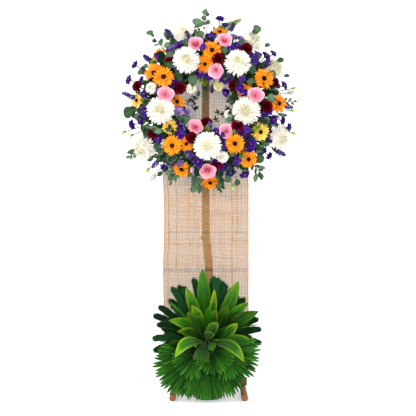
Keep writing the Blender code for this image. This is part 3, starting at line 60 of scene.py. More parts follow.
def newGroup(name, inputs, outputs):
    group = bpy.data.node_groups.new(name, "ShaderNodeTree")
    for label, value in inputs.items():
        kind = "NodeSocketVector" if isinstance(value, tuple) else "NodeSocketFloat"
        group.interface.new_socket(label, in_out="INPUT", socket_type=kind).default_value = value
    for label in outputs:
        group.interface.new_socket(label, in_out="OUTPUT", socket_type="NodeSocketFloat")
    given = group.nodes.new("NodeGroupInput").outputs
    group.nodes.new("NodeGroupOutput")
    return group, given


def endGroup(group, **values):
    for label, source in values.items():
        group.links.new(source, group.nodes["Group Output"].inputs[label])
    return group


def addNode(tree, kind, links=None, **values):
    made = tree.nodes.new(kind)
    for key, value in values.items():
        setattr(made, key, value)
    for socket, source in (links or {}).items():
        if isinstance(source, (int, float, tuple)):
            made.inputs[socket].default_value = source
        else:
            tree.links.new(source, made.inputs[socket])
    return made


def useGroup(tree, group, **values):
    return addNode(tree, "ShaderNodeGroup", values, node_tree=group).outputs


def objectPlace(tree):
    return addNode(tree, "ShaderNodeTexCoord").outputs["Object"]


def calc(tree, operation, a, b=0.0, clamp=False):
    return addNode(tree, "ShaderNodeMath", {0: a, 1: b}, operation=operation, use_clamp=clamp).outputs[0]


def blendColor(tree, factor, a, b, mode="MIX"):
    a, b = [(*side, 1.0) if isinstance(side, tuple) else side for side in (a, b)]
    made = addNode(tree, "ShaderNodeMix", {0: factor, 6: a, 7: b}, data_type="RGBA", blend_type=mode)
    return made.outputs[2]


def spread(tree, value, low, high, toLow=0.0, toHigh=1.0):
    links = {0: value, 1: low, 2: high, 3: toLow, 4: toHigh}
    return addNode(tree, "ShaderNodeMapRange", links, clamp=True).outputs[0]


# marks painted on each petal and leaf: base to tip, side to side, own shade, kind
def buildMarksGroup():
    group = newGroup("growthMarks", {}, ("Along", "Across", "Shade", "Tint"))[0]
    marks = addNode(group, "ShaderNodeAttribute", attribute_name="marks", attribute_type="GEOMETRY").outputs
    parts = addNode(group, "ShaderNodeSeparateColor", {0: marks["Color"]}).outputs
    return endGroup(group, Along=parts[0], Across=parts[1], Shade=parts[2], Tint=marks["Alpha"])


# fine lines that run from base to tip
def buildVeinGroup():
    group, given = newGroup("veins", {"Across": 0.5, "Lines": 9.0, "Wander": 0.3}, ["Mask"])
    cloud = addNode(group, "ShaderNodeTexNoise", {"Vector": objectPlace(group), "Scale": 60.0, "Detail": 2.0})
    drift = calc(group, "MULTIPLY", cloud.outputs[0], given["Wander"])
    phase = calc(group, "ADD", calc(group, "MULTIPLY", given["Across"], given["Lines"]), drift)
    wave = calc(group, "SINE", calc(group, "MULTIPLY", phase, math.tau))
    return endGroup(group, Mask=spread(group, wave, -0.2, 1.0))


# soft blotches of light and dark through the object's own space
def buildMottleGroup():
    group, given = newGroup("mottle", {"Scale": 30.0, "Low": 0.0, "High": 1.0}, ["Value"])
    links = {"Vector": objectPlace(group), "Scale": given["Scale"], "Detail": 5.0, "Roughness": 0.6}
    cloud = addNode(group, "ShaderNodeTexNoise", links).outputs[0]
    return endGroup(group, Value=spread(group, cloud, 0.3, 0.7, given["Low"], given["High"]))


# bark: long cracks and flakes, with the length of the branch along one axis
def buildBarkGroup():
    group, given = newGroup("barkGrain", {"Stretch": (1.0, 1.0, 0.12), "Scale": 90.0},
                            ("Crack", "Tone", "Height"))
    drawn = addNode(group, "ShaderNodeVectorMath", {0: objectPlace(group), 1: given["Stretch"]},
                    operation="MULTIPLY")
    links = {"Vector": drawn.outputs[0], "Scale": given["Scale"]}
    cells = addNode(group, "ShaderNodeTexVoronoi", links, feature="DISTANCE_TO_EDGE").outputs[0]
    cloud = addNode(group, "ShaderNodeTexNoise", {**links, "Detail": 8.0, "Roughness": 0.65}).outputs[0]
    crack = spread(group, cells, 0.0, 0.12)
    height = calc(group, "ADD", calc(group, "MULTIPLY", crack, 0.6), cloud)
    return endGroup(group, Crack=crack, Tone=spread(group, cloud, 0.3, 0.7), Height=height)


marksGroup = buildMarksGroup()
veinGroup = buildVeinGroup()
mottleGroup = buildMottleGroup()
barkGroup = buildBarkGroup()


def newMaterial(name, roughness, gloss=0.18):
    made = bpy.data.materials.new(name)
    made.use_nodes = True
    tree = made.node_tree
    shader = tree.nodes["Principled BSDF"].inputs
    shader["Roughness"].default_value = roughness
    shader["Specular IOR Level"].default_value = gloss
    return made, tree, shader


def setSurface(tree, shader, color, height=None, strength=0.0, depth=0.0):
    tree.links.new(color, shader["Base Color"])
    if height is not None:
        bump = addNode(tree, "ShaderNodeBump", {"Height": height, "Strength": strength, "Distance": depth})
        tree.links.new(bump.outputs[0], shader["Normal"])


def setGlow(tree, shader, color, strength):
    tree.links.new(color, shader["Emission Color"])
    shader["Emission Strength"].default_value = strength


# petals and leaves: heart to tip colours, a second kind by tint, veins, and a shade of their own; the dark
# hearts of the pot's leaves are a painted shade towards their base, and the dark edges of the pleated leaves
# a painted shade along their folds
def growthMaterial(name, look):
    made, tree, shader = newMaterial(name, look["roughness"], look.get("gloss", 0.18))
    marks = useGroup(tree, marksGroup)
    along, across, tint = marks["Along"], marks["Across"], marks["Tint"]
    # heart colour towards the base: the petals' own tint, and on the pot's leaves a painted shade
    heartTintAndShadeReach = spread(tree, along, *look["heartTintAndShadeEnd"])
    color = blendColor(tree, heartTintAndShadeReach, look["heart"], look["body"])
    if "other" in look:
        color = blendColor(tree, tint, color, blendColor(tree, heartTintAndShadeReach, look["otherHeart"], look["other"]))
    side = calc(tree, "ABSOLUTE", calc(tree, "SUBTRACT", across, 0.5))
    pale = tint if "paleByTint" in look else 1.0
    if "tip" in look:
        reach = calc(tree, "MULTIPLY", spread(tree, along, look["tipStart"], 1.0), pale)
        color = blendColor(tree, reach, color, look["tip"])
    if "edge" in look:
        share = look["edgeShare"]
        if "paleByTint" in look:
            share = spread(tree, along, 0.35, 0.95, 0.15, share)
        # edge colour: the leaves' own rim tint, and on the pleated leaves a painted shade along the folds
        rimTintAndShade = calc(tree, "MULTIPLY", spread(tree, side, look["edgeStart"], 0.5), share)
        color = blendColor(tree, calc(tree, "MULTIPLY", rimTintAndShade, pale), color, look["edge"])
    if "rib" in look:
        line = calc(tree, "MULTIPLY", spread(tree, side, 0.035, 0.0), 0.6)
        color = blendColor(tree, line, color, look["rib"])
    veins = useGroup(tree, veinGroup, Across=across, Lines=look["lines"], Wander=look["wander"])["Mask"]
    color = blendColor(tree, calc(tree, "MULTIPLY", veins, look["veinShare"]), color, look["vein"])
    patches = useGroup(tree, mottleGroup, Scale=40.0, Low=0.86, High=1.08)["Value"]
    own = spread(tree, marks["Shade"], 0.0, 1.0, look["shadeLow"], look["shadeHigh"])
    level = calc(tree, "MULTIPLY", patches, own)
    grey = addNode(tree, "ShaderNodeCombineColor", {0: level, 1: level, 2: level}).outputs[0]
    color = blendColor(tree, 1.0, color, grey, "MULTIPLY")
    if "glow" in look:
        setGlow(tree, shader, color, look["glow"])
    setSurface(tree, shader, color, veins, look["bump"], 0.0006)
    return made


def barkMaterial(name, dark, light, crack, patch, stretch, scale):
    made, tree, shader = newMaterial(name, 0.82)
    grain = useGroup(tree, barkGroup, Stretch=stretch, Scale=scale)
    color = blendColor(tree, grain["Tone"], dark, light)
    color = blendColor(tree, grain["Crack"], crack, color)
    blotch = useGroup(tree, mottleGroup, Scale=14.0, Low=0.0, High=0.45)["Value"]
    setSurface(tree, shader, blendColor(tree, blotch, color, patch), grain["Height"], 0.7, 0.0015)
    return made


def cutWoodMaterial(name):
    made, tree, shader = newMaterial(name, 0.7)
    marks = useGroup(tree, marksGroup)
    rings = calc(tree, "SINE", calc(tree, "MULTIPLY", marks["Along"], 46.0))
    mask = spread(tree, rings, -0.6, 1.0)
    setSurface(tree, shader, blendColor(tree, mask, (0.17, 0.065, 0.022), (0.40, 0.18, 0.065)))
    return made


def plainMaterial(name, dark, light, roughness, scale, strength):
    made, tree, shader = newMaterial(name, roughness)
    patches = useGroup(tree, mottleGroup, Scale=scale, Low=0.0, High=1.0)["Value"]
    setSurface(tree, shader, blendColor(tree, patches, dark, light), patches, strength, 0.001)
    return made


# each row: the columns named here, then what only some have
growthColumns = ("heart", "body", "heartTintAndShadeEnd", "vein", "veinShare", "lines", "wander", "roughness",
                 "shadeLow", "shadeHigh", "bump")
growthLooks = {
    # mumPetals: the cream-yellow 'other' colours are the centre petals' own tint, and on the pompon with tone
    # 1 a painted shade
    "mumPetals": (
        (0.8, 0.76, 0.42), (0.97, 0.95, 0.86), (0, 0.3), (0.8, 0.78, 0.66), 0.2, 3, 0.2, 0.55, 0.74, 1.1,
        0.25, {"glow": 0.1, "other": (0.93, 0.84, 0.45), "otherHeart": (0.6, 0.62, 0.1)}),
    "rosePetals": (
        (0.86, 0.055, 0.17), (0.98, 0.17, 0.34), (0, 0.75), (0.66, 0.03, 0.13), 0.2, 11, 0.5, 0.5, 0.78,
        1.1, 0.15, {"glow": 0.1, "tip": (1, 0.56, 0.66), "tipStart": 0.62, "gloss": 0.1}),
    "gerberaPetals": (
        (0.8, 0.1, 0), (0.98, 0.31, 0), (0.1, 0.7), (0.72, 0.09, 0), 0.35, 5, 0.2, 0.45, 0.74, 1.2, 0.5,
        {"glow": 0.06, "other": (0.95, 0.64, 0.1), "otherHeart": (0.92, 0.42, 0.02)}),
    "carnationPetals": (
        (0.03, 0, 0.003), (0.135, 0.001, 0.009), (0.1, 0.85), (0.07, 0, 0.006), 0.35, 9, 0.6, 0.6, 0.55,
        1.25, 0.2, {"tip": (0.27, 0.003, 0.022), "tipStart": 0.82, "gloss": 0.06}),
    "lisianthusPetals": (
        (0.26, 0.28, 0.34), (0.055, 0.006, 0.21), (0.02, 0.35), (0.022, 0.002, 0.1), 0.35, 9, 0.4, 0.5,
        0.55, 1.35, 0.2,
        {"other": (0.42, 0.26, 0.62), "otherHeart": (0.6, 0.52, 0.5), "tip": (0.1, 0.014, 0.33),
         "tipStart": 0.85}),
    "budSkin": (
        (0.1, 0.22, 0.03), (0.5, 0.6, 0.16), (0.15, 0.7), (0.2, 0.28, 0.06), 0.3, 6, 0.5, 0.5, 0.85, 1.1,
        0.3, {"other": (0.62, 0.38, 0.66), "otherHeart": (0.3, 0.38, 0.1)}),
    "berrySkin": (
        (0.1, 0.004, 0.01), (0.3, 0.006, 0.018), (0, 0.6), (0.1, 0, 0.006), 0.2, 4, 0.5, 0.3, 0.8, 1.1,
        0.1, {"other": (0.02, 0.012, 0.06), "otherHeart": (0.01, 0.01, 0.03)}),
    "eucalyptusLeaf": (
        (0.055, 0.115, 0.042), (0.115, 0.2, 0.11), (0, 0.35), (0.17, 0.25, 0.16), 0.2, 7, 0.8, 0.55, 0.45,
        1.35, 0.25,
        {"other": (0.016, 0.06, 0.016), "otherHeart": (0.012, 0.05, 0.012), "edge": (0.17, 0.22, 0.13),
         "edgeStart": 0.45, "edgeShare": 0.5, "rib": (0.24, 0.28, 0.15), "gloss": 0.08}),
    # fillerLeaf: its own dark green, darkened to near black as a painted shade in the gaps between the blooms
    "fillerLeaf": (
        (0.01, 0.035, 0.008), (0.01, 0.042, 0.01), (0, 0.5), (0.03, 0.08, 0.022), 0.25, 5, 0.8, 0.5, 0.3,
        1.3, 0.25, {"other": (0.055, 0.115, 0.06), "otherHeart": (0.035, 0.08, 0.03), "gloss": 0.06}),
    "limeLeaf": (
        (0.1, 0.19, 0.02), (0.2, 0.3, 0.03), (0, 0.5), (0.12, 0.2, 0.02), 0.25, 5, 0.4, 0.45, 0.7, 1.2,
        0.25, {"other": (0.035, 0.2, 0.012), "otherHeart": (0.02, 0.12, 0.01),
         "rib": (0.32, 0.36, 0.08)}),
    # brightLeaf: the near-black heart, reaching most of the way up the leaf, is a painted shade towards the
    # base
    "brightLeaf": (
        (0.002, 0.014, 0.001), (0.02, 0.13, 0.002), (0.1, 0.85), (0.006, 0.055, 0.003), 0.45, 14, 0.15,
        0.26, 0.5, 1.5, 0.8,
        {"edge": (0.34, 0.5, 0.015), "edgeStart": 0.22, "edgeShare": 0.95, "tip": (0.26, 0.44, 0.015),
         "tipStart": 0.7, "paleByTint": True, "rib": (0.035, 0.19, 0.015), "gloss": 0.14}),
    # paddleLeaf: the dark heart is a painted shade towards the base
    "paddleLeaf": (
        (0.003, 0.018, 0.004), (0.008, 0.05, 0.011), (0, 0.6), (0.003, 0.02, 0.004), 0.55, 8, 0.1, 0.32,
        0.45, 1.9, 0.7, {"edge": (0.03, 0.11, 0.02), "edgeStart": 0.44, "edgeShare": 0.6, "gloss": 0.09}),
    # fanLeaf: the dark hearts are a painted shade towards the base, and the dark edges a painted shade along
    # the folds between the fingers
    "fanLeaf": (
        (0.002, 0.016, 0.002), (0.016, 0.1, 0.005), (0.15, 0.75), (0.006, 0.05, 0.004), 0.4, 4, 0.1, 0.32,
        0.45, 1.3, 0.6,
        {"other": (0.04, 0.18, 0.008), "otherHeart": (0.015, 0.1, 0.006), "edge": (0.004, 0.04, 0.004),
         "edgeStart": 0.28, "edgeShare": 0.55, "tip": (0.05, 0.22, 0.02), "tipStart": 0.8,
         "gloss": 0.08}),
    "stemGreen": (
        (0.03, 0.09, 0.015), (0.055, 0.14, 0.025), (0, 1), (0.04, 0.09, 0.02), 0.3, 4, 0.2, 0.5, 0.8, 1.1,
        0.2, {}),
    "gerberaEye": (
        (0.006, 0.003, 0.002), (0.012, 0.006, 0.004), (0, 0.8), (0.01, 0.005, 0.003), 0.3, 4, 0.5, 0.75,
        0.6, 1.4, 0.3, {"tip": (0.1, 0.04, 0.01), "tipStart": 0.9}),
    "stamenYellow": (
        (0.3, 0.36, 0.05), (0.6, 0.55, 0.1), (0, 0.8), (0.3, 0.3, 0.03), 0.2, 3, 0.5, 0.6, 0.8, 1.1, 0.2,
        {}),
}
materials = {name: growthMaterial(name, {**dict(zip(growthColumns, row)), **extra})
             for name, (*row, extra) in growthLooks.items()}
# dark and light tone, cracks, patches, stretch along the branch, scale
barkLooks = {
    "postBark": ((0.055, 0.026, 0.012), (0.17, 0.09, 0.045), (0.02, 0.01, 0.006), (0.20, 0.13, 0.08),
                 (1.0, 1.0, 0.14), 95.0),
    "footBark": ((0.20, 0.075, 0.025), (0.45, 0.20, 0.08), (0.07, 0.03, 0.01), (0.40, 0.24, 0.13),
                 (1.0, 0.14, 1.0), 95.0),
    "crossBark": ((0.10, 0.045, 0.02), (0.27, 0.14, 0.07), (0.03, 0.015, 0.01), (0.30, 0.19, 0.11),
                  (0.14, 1.0, 1.0), 90.0),
    "darkBark": ((0.045, 0.015, 0.010), (0.12, 0.045, 0.03), (0.015, 0.006, 0.004), (0.13, 0.07, 0.05),
                 (0.14, 1.0, 1.0), 130.0),
}
materials.update({name: barkMaterial(name, *look) for name, look in barkLooks.items()})
materials["cutWood"] = cutWoodMaterial("cutWood")
# dark and light tone, roughness, scale of the blotches, depth of the bumps
plainLooks = {
    "potPlastic": ((0.012, 0.022, 0.013), (0.030, 0.050, 0.030), 0.42, 120.0, 0.10),
    "wetFoam": ((0.015, 0.060, 0.025), (0.045, 0.130, 0.060), 0.95, 420.0, 0.6),
}
materials.update({name: plainMaterial(name, *look) for name, look in plainLooks.items()})
print("materials:", len(materials))


# a store gathers the surfaces of one piece: points, marks, faces and each face's material
def newStore():
    return {"points": [], "marks": [], "faces": [], "slots": []}


def addRows(store, rows, slot=0, shade=0.5, tint=0.0, closed=False):
    first, wide = len(store["points"]), len(rows[0])
    for r, row in enumerate(rows):
        for c, point in enumerate(row):
            store["points"].append(tuple(point))
            store["marks"].append((r / (len(rows) - 1), c / (wide - 1), shade, tint))
    for r in range(len(rows) - 1):
        for c in range(wide if closed else wide - 1):
            a = first + r * wide + c
            b = first + r * wide + (c + 1) % wide
            store["faces"].append((a, b, b + wide, a + wide))
            store["slots"].append(slot)


def addTemplate(store, template, matrix, tint, shadeShift=0.0):
    first = len(store["points"])
    turn = np.array(matrix.to_3x3())
    points = template["array"] @ turn.T + np.array(matrix.translation)
    store["points"].extend(map(tuple, points))
    for along, across, shade, kind in template["marks"]:
        store["marks"].append((along, across, min(max(shade + shadeShift, 0.0), 1.0), max(kind, tint)))
    store["faces"].extend(tuple(i + first for i in face) for face in template["faces"])
    store["slots"].extend(template["slots"])


def closeTemplate(store):
    store["array"] = np.array(store["points"])
    return store


def trackTurn(way):
    return way.to_track_quat("Z", "Y").to_matrix()


def buildPiece(name, store, materialNames, node=None):
    mesh = bpy.data.meshes.new(name)
    mesh.from_pydata(store["points"], [], store["faces"])
    marks = mesh.attributes.new("marks", "FLOAT_COLOR", "POINT")
    marks.data.foreach_set("color", np.array(store["marks"], dtype=np.float32).ravel())
    for materialName in materialNames:
        mesh.materials.append(materials[materialName])
    mesh.polygons.foreach_set("material_index", np.array(store["slots"], dtype=np.int32))
    mesh.polygons.foreach_set("use_smooth", np.ones(len(mesh.polygons), dtype=bool))
    mesh.update()
    piece = bpy.data.objects.new(name, mesh)
    bpy.context.scene.collection.objects.link(piece)
    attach(piece, "root")
    if node:
        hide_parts(node)
    return piece


# outlines of petals and leaves: places from base to tip, and the share of the width there
outlines = {
    "strap": ((0.0, 0.35, 0.75, 0.93, 1.0), (0.55, 0.85, 1.0, 0.72, 0.10)),
    "ray": ((0, 0.3, 0.65, 0.88, 1.0), (0.50, 0.85, 1.0, 0.66, 0.12)),
    "floret": ((0, 1), (1.0, 0.5)),
    "roseSepal": ((0, 0.4, 1.0), (0.7, 1.0, 0.1)),
    "frill": ((0, 0.35, 0.7, 1.0), (0.14, 0.35, 0.85, 1.0)),
    "bell": ((0, 0.3, 0.65, 0.9, 1.0), (0.18, 0.62, 1.0, 0.85, 0.4)),
    "spikePetal": ((0, 0.6, 1.0), (0.3, 1.0, 0.55)),
    "even": ((0, 1), (1, 1)),
    "budSepal": ((0, 0.4, 1.0), (0.8, 1.0, 0.1)),
    "berryTip": ((0, 1), (1.0, 0.3)),
    "round": ((0, 0.08, 0.3, 0.55, 0.8, 0.95, 1.0), (0.1, 0.3, 0.88, 1.0, 0.82, 0.42, 0.05)),
    "oval": ((0, 0.1, 0.35, 0.6, 0.85, 1.0), (0.1, 0.4, 0.95, 1.0, 0.55, 0.03)),
    "narrow": ((0, 0.15, 0.4, 0.7, 1.0), (0.2, 0.7, 1.0, 0.75, 0.03)),
    "longOval": ((0, 0.1, 0.4, 0.7, 0.9, 1.0), (0.14, 0.4, 0.95, 1.0, 0.6, 0.04)),
    "pointed": ((0, 0.08, 0.25, 0.5, 0.72, 0.9, 1.0), (0.16, 0.38, 0.78, 1.0, 0.92, 0.50, 0.02)),
    "broad": ((0, 0.1, 0.4, 0.72, 0.93, 1.0), (0.2, 0.45, 0.98, 1.0, 0.72, 0.30)),
    "torn": ((0, 0.12, 0.4, 0.75, 1.0), (0.22, 0.50, 0.86, 1.0, 0.90)),
    "blunt": ((0, 0.12, 0.4, 0.75, 1.0), (0.12, 0.34, 0.80, 1.0, 0.90)),
}


def halfWidth(outline, share, width):
    return 0.5 * width * float(np.interp(share, *outlines[outline]))


# one petal or leaf as a curved sheet: out is the way it grows, up the side it shows
def growPetal(store, base, out, up, outline, rows, columns, length, width, rise=0.0, curl=0.0, cup=0.0,
              ripple=0.0, waves=0.0, rounded=0.0, notch=0.0, shade=0.5, tint=0.0, slot=0):
    side = out.cross(up).normalized()
    lines = []
    for r in range(rows + 1):
        s = r / rows
        half = halfWidth(outline, s, width)
        middle = base + out * (length * s) + up * (rise * s + curl * s * s)
        line = []
        for c in range(columns + 1):
            u = 2.0 * c / columns - 1.0
            wave = ripple * s * s * math.sin(waves * u + 9.0 * shade)
            back = rounded * length * u * u * s + notch * length * s * (c % 2)
            line.append(middle + side * (half * u) + up * (cup * half * u * u + wave) - out * back)
        lines.append(line)
    addRows(store, lines, slot, shade, tint)


def polarWay(degrees, turn):
    polar = math.radians(degrees)
    out = Vector((math.sin(polar) * math.cos(turn), math.sin(polar) * math.sin(turn), math.cos(polar)))
    up = Vector((-math.cos(polar) * math.cos(turn), -math.cos(polar) * math.sin(turn), math.sin(polar)))
    return out, up


# a closed cone of rings, for calyxes, buds and eyes
def addTurned(store, profile, around, slot, shade=0.5, tint=0.0, twist=0.0):
    rows = []
    for r, (radius, height) in enumerate(profile):
        turns = [math.tau * c / around + twist * r for c in range(around)]
        rows.append([Vector((radius * math.cos(a), radius * math.sin(a), height)) for a in turns])
    addRows(store, rows, slot, shade, tint, closed=True)


# blooms, each drawn at radius 1, facing +Z, in two or three variants

mumLook = {"petals": 300, "width": 0.125, "outerAngle": 100.0, "core": 0.46, "flatten": 0.80}
pomponLook = {**mumLook, "petals": 130, "width": 0.19}


def mumTemplate(seed, look):
    rng = random.Random(seed)
    store = newStore()
    for k in range(look["petals"]):
        t = k / (look["petals"] - 1)
        turn = k * goldenTurn + rng.uniform(-0.15, 0.15)
        place = look["outerAngle"] * (1.0 - t ** 0.62) + rng.uniform(-3, 3)
        fall = 14.0 + 30.0 * math.sin(math.pi * min(t * 1.15, 1.0)) + rng.uniform(-9, 9)
        foot = polarWay(place, turn)[0] * look["core"]
        out, up = polarWay(min(place + fall, 122.0), turn)
        growPetal(store, foot, out, up, "strap", 5, 2, 0.54 * rng.uniform(0.86, 1.06),
                  look["width"] * (1.0 - 0.30 * t), curl=0.09 + 0.14 * t, cup=0.5,
                  shade=rng.random(), tint=0.6 * max(t - 0.60, 0.0) / 0.40)
    addTurned(store, [(0.60, -0.14), (0.58, 0.10), (0.46, 0.36), (0.26, 0.52), (0.02, 0.58)], 12, 0, 0.6, 0.2)
    addTurned(store, [(0.58, -0.14), (0.34, -0.34), (0.06, -0.45), (0.05, -0.62)], 10, 1)
    closeTemplate(store)
    store["array"][:, 2] *= look["flatten"]
    return store


# each layer: petals, degrees from the axis, reach, offset
gerberaLook = {"layers": ((21, 89.0, 1.03, 0.0), (19, 80.0, 0.92, 0.4), (20, 66.0, 0.44, 0.1)),
               "width": 0.215, "start": 0.12, "florets": 64, "eye": 0.20}


def gerberaTemplate(seed, look):
    rng = random.Random(seed)
    store = newStore()
    for count, angle, reach, offset in look["layers"]:
        for k in range(count):
            turn = math.tau * (k + offset) / count + rng.uniform(-0.06, 0.06)
            out, up = polarWay(angle + rng.uniform(-8, 8), turn)
            growPetal(store, out * look["start"] + Vector((0, 0, 0.02)), out, up, "ray", 6, 4,
                      (reach - look["start"]) * rng.uniform(0.86, 1.05), look["width"] * (0.3 + 0.7 * reach),
                      rise=0.03, curl=rng.uniform(-0.12, 0.02), cup=-0.25, shade=rng.random())
    addTurned(store, [(0.22, 0.06), (0.20, 0.13), (0.12, 0.15), (0.02, 0.12)], 14, 1)
    for k in range(look["florets"]):
        turn = k * goldenTurn
        share = math.sqrt((k + 0.5) / look["florets"])
        out, up = polarWay(12 + 44 * share, turn)
        reach = look["eye"] * share
        base = Vector((reach * math.cos(turn), reach * math.sin(turn), 0.11))
        growPetal(store, base, out, up, "floret", 1, 2, 0.08 + 0.03 * share, 0.05, cup=0.6,
                  shade=rng.random(), slot=1)
    addTurned(store, [(0.30, 0.0), (0.22, -0.14), (0.06, -0.24), (0.05, -0.5)], 10, 2)
    return closeTemplate(store)


roseLook = {"petals": 30, "height": 0.90, "rows": 7, "columns": 8, "sepals": 5}


def roseTemplate(seed, look):
    rng = random.Random(seed)
    store = newStore()
    for k in range(look["petals"]):
        openness = k / (look["petals"] - 1)
        turn = k * goldenTurn + rng.uniform(-0.15, 0.15)
        wrap = math.radians(104 - 54 * openness)
        foot = 0.02 + 0.12 * openness
        belly = 0.02 + 0.64 * openness ** 0.85 * rng.uniform(0.94, 1.04)
        flare = 0.08 + 0.30 * openness ** 1.3
        tall = look["height"] * (1.0 - 0.24 * openness) * rng.uniform(0.94, 1.06)
        rows = []
        for r in range(look["rows"] + 1):
            row = []
            for c in range(look["columns"] + 1):
                u = 2.0 * c / look["columns"] - 1.0
                v = r / look["rows"] * (1.0 - 0.22 * u * u)
                radius = foot + (belly - foot) * math.sin(0.5 * math.pi * min(v * 1.25, 1.0)) + flare * v ** 3
                radius += 0.012 * math.sin(5 * u + 8 * openness) * v
                height = -0.30 + tall * v * 1.05 - flare * 1.7 * max(v - 0.55, 0.0) ** 1.5
                angle = turn + wrap * u * (0.55 + 0.45 * math.sqrt(max(v, 0.0)))
                row.append(Vector((radius * math.cos(angle), radius * math.sin(angle), height)))
            rows.append(row)
        addRows(store, rows, 0, rng.random())
    for k in range(look["sepals"]):
        out, up = polarWay(115, math.tau * k / look["sepals"])
        growPetal(store, Vector((0, 0, -0.28)), out, up, "roseSepal", 4, 2, 0.55, 0.16, curl=-0.15, cup=0.3,
                  slot=1)
    addTurned(store, [(0.16, -0.22), (0.14, -0.36), (0.06, -0.45), (0.05, -0.7)], 8, 1)
    return closeTemplate(store)


carnationLook = {"petals": 34, "width": 0.62}


def carnationTemplate(seed, look):
    rng = random.Random(seed)
    store = newStore()
    for k in range(look["petals"]):
        t = k / (look["petals"] - 1)
        out, up = polarWay(98 - 84 * t + rng.uniform(-6, 6), k * goldenTurn)
        growPetal(store, Vector((0, 0, -0.08)), out, up, "frill", 5, 10,
                  (1.0 - 0.34 * t) * rng.uniform(0.92, 1.04), look["width"] * (1.0 - 0.25 * t), curl=0.05,
                  cup=0.15, rounded=0.14, ripple=0.10, waves=7.0, notch=0.07, shade=rng.random())
    addTurned(store, [(0.20, -0.12), (0.19, -0.30), (0.17, -0.60), (0.05, -0.72), (0.05, -0.9)], 10, 1)
    return closeTemplate(store)


# each layer: petals, degrees from the axis, reach
bellLook = {"layers": ((6, 74.0, 1.0), (5, 52.0, 0.86), (4, 34.0, 0.66)), "width": 0.86}


def bellTemplate(seed, look):
    rng = random.Random(seed)
    store = newStore()
    for count, angle, reach in look["layers"]:
        for k in range(count):
            turn = math.tau * (k + 0.5 * (count % 2)) / count + rng.uniform(-0.15, 0.15)
            out, up = polarWay(angle + rng.uniform(-7, 7), turn)
            growPetal(store, Vector((0, 0, -0.30)), out, up, "bell", 5, 6, reach * rng.uniform(0.92, 1.05),
                      look["width"] * reach, rise=0.02, curl=rng.uniform(-0.18, 0.10), cup=0.35, ripple=0.06,
                      waves=4.5, rounded=0.06, shade=rng.random())
    addTurned(store, [(0.08, -0.30), (0.11, 0.02), (0.07, 0.12), (0.01, 0.16)], 7, 2)
    addTurned(store, [(0.18, -0.20), (0.15, -0.45), (0.05, -0.58), (0.04, -0.9)], 7, 1)
    return closeTemplate(store)


staticeLook = {"florets": 34, "petals": 5, "open": 62}


def staticeTemplate(seed, look):
    rng = random.Random(seed)
    store = newStore()
    for k in range(look["florets"]):
        t = k / (look["florets"] - 1)
        turn = k * goldenTurn
        reach = 0.46 * math.sin(math.pi * (0.15 + 0.8 * t)) * rng.uniform(0.45, 1.0)
        place = Vector((reach * math.cos(turn), reach * math.sin(turn), -0.55 + 1.45 * t))
        facing = trackTurn(polarWay(look["open"] - 46 * t, turn)[0])
        for p in range(look["petals"]):
            out, up = polarWay(look["open"], math.tau * p / look["petals"])
            growPetal(store, place, facing @ out, facing @ up, "spikePetal", 2, 2, 0.23, 0.20, curl=-0.04,
                      cup=0.2, shade=rng.random())
        foot = Vector((0, 0, place.z - 0.35))
        way = (place - foot).normalized()
        growPetal(store, foot, way, way.orthogonal().normalized(), "even", 1, 1, (place - foot).length, 0.03,
                  slot=1)
    return closeTemplate(store)


budLook = {"sepals": 5, "twist": 0.22}


def budTemplate(seed, look):
    store = newStore()
    profile = [(0.14, -0.62), (0.34, -0.35), (0.46, 0.0), (0.40, 0.40), (0.22, 0.78), (0.03, 1.0)]
    addTurned(store, profile, 10, 0, random.Random(seed).random(), twist=look["twist"])
    for k in range(look["sepals"]):
        out, up = polarWay(38, math.tau * k / look["sepals"])
        growPetal(store, Vector((0, 0, -0.62)), out, up, "budSepal", 3, 2, 0.75, 0.20, curl=0.45, cup=-0.2,
                  shade=0.6, slot=1)
    return closeTemplate(store)


bloomKinds = {
    "mum": (mumTemplate, mumLook, (1, 2, 3)), "pompon": (mumTemplate, pomponLook, (4, 5)),
    "gerbera": (gerberaTemplate, gerberaLook, (6, 7, 8)), "rose": (roseTemplate, roseLook, (9, 10, 11)),
    "carnation": (carnationTemplate, carnationLook, (12, 13, 14)),
    "bell": (bellTemplate, bellLook, (15, 16, 17)), "statice": (staticeTemplate, staticeLook, (18, 19)),
    "bud": (budTemplate, budLook, (20, 21)),
}
templates = {kind: [build(seed, look) for seed in seeds] for kind, (build, look, seeds) in bloomKinds.items()}
print("bloom shapes:", sum(len(group) for group in templates.values()))


# the wreath's own sizes, as its solids have them, in metres
wreath = {"x": 0.002, "z": 1.335, "ringRadius": 0.200, "ringY": -0.073, "canopyRadius": 0.205,
          "canopyTube": 0.122, "foamHalfWidth": 0.045, "foamHalfDepth": 0.024, "back": -0.048}
# each head: radius, how far it turns outwards, its stem's radius
heads = {
    "mum": (0.0640, 0.50, 0.0036), "pompon": (0.0270, 0.55, 0.0024), "gerbera": (0.0470, 0.52, 0.0030),
    "rose": (0.0370, 0.50, 0.0030), "carnation": (0.0320, 0.55, 0.0028), "bell": (0.0265, 0.70, 0.0022),
    "statice": (0.0290, 0.95, 0.0018), "bud": (0.0160, 1.10, 0.0019),
}
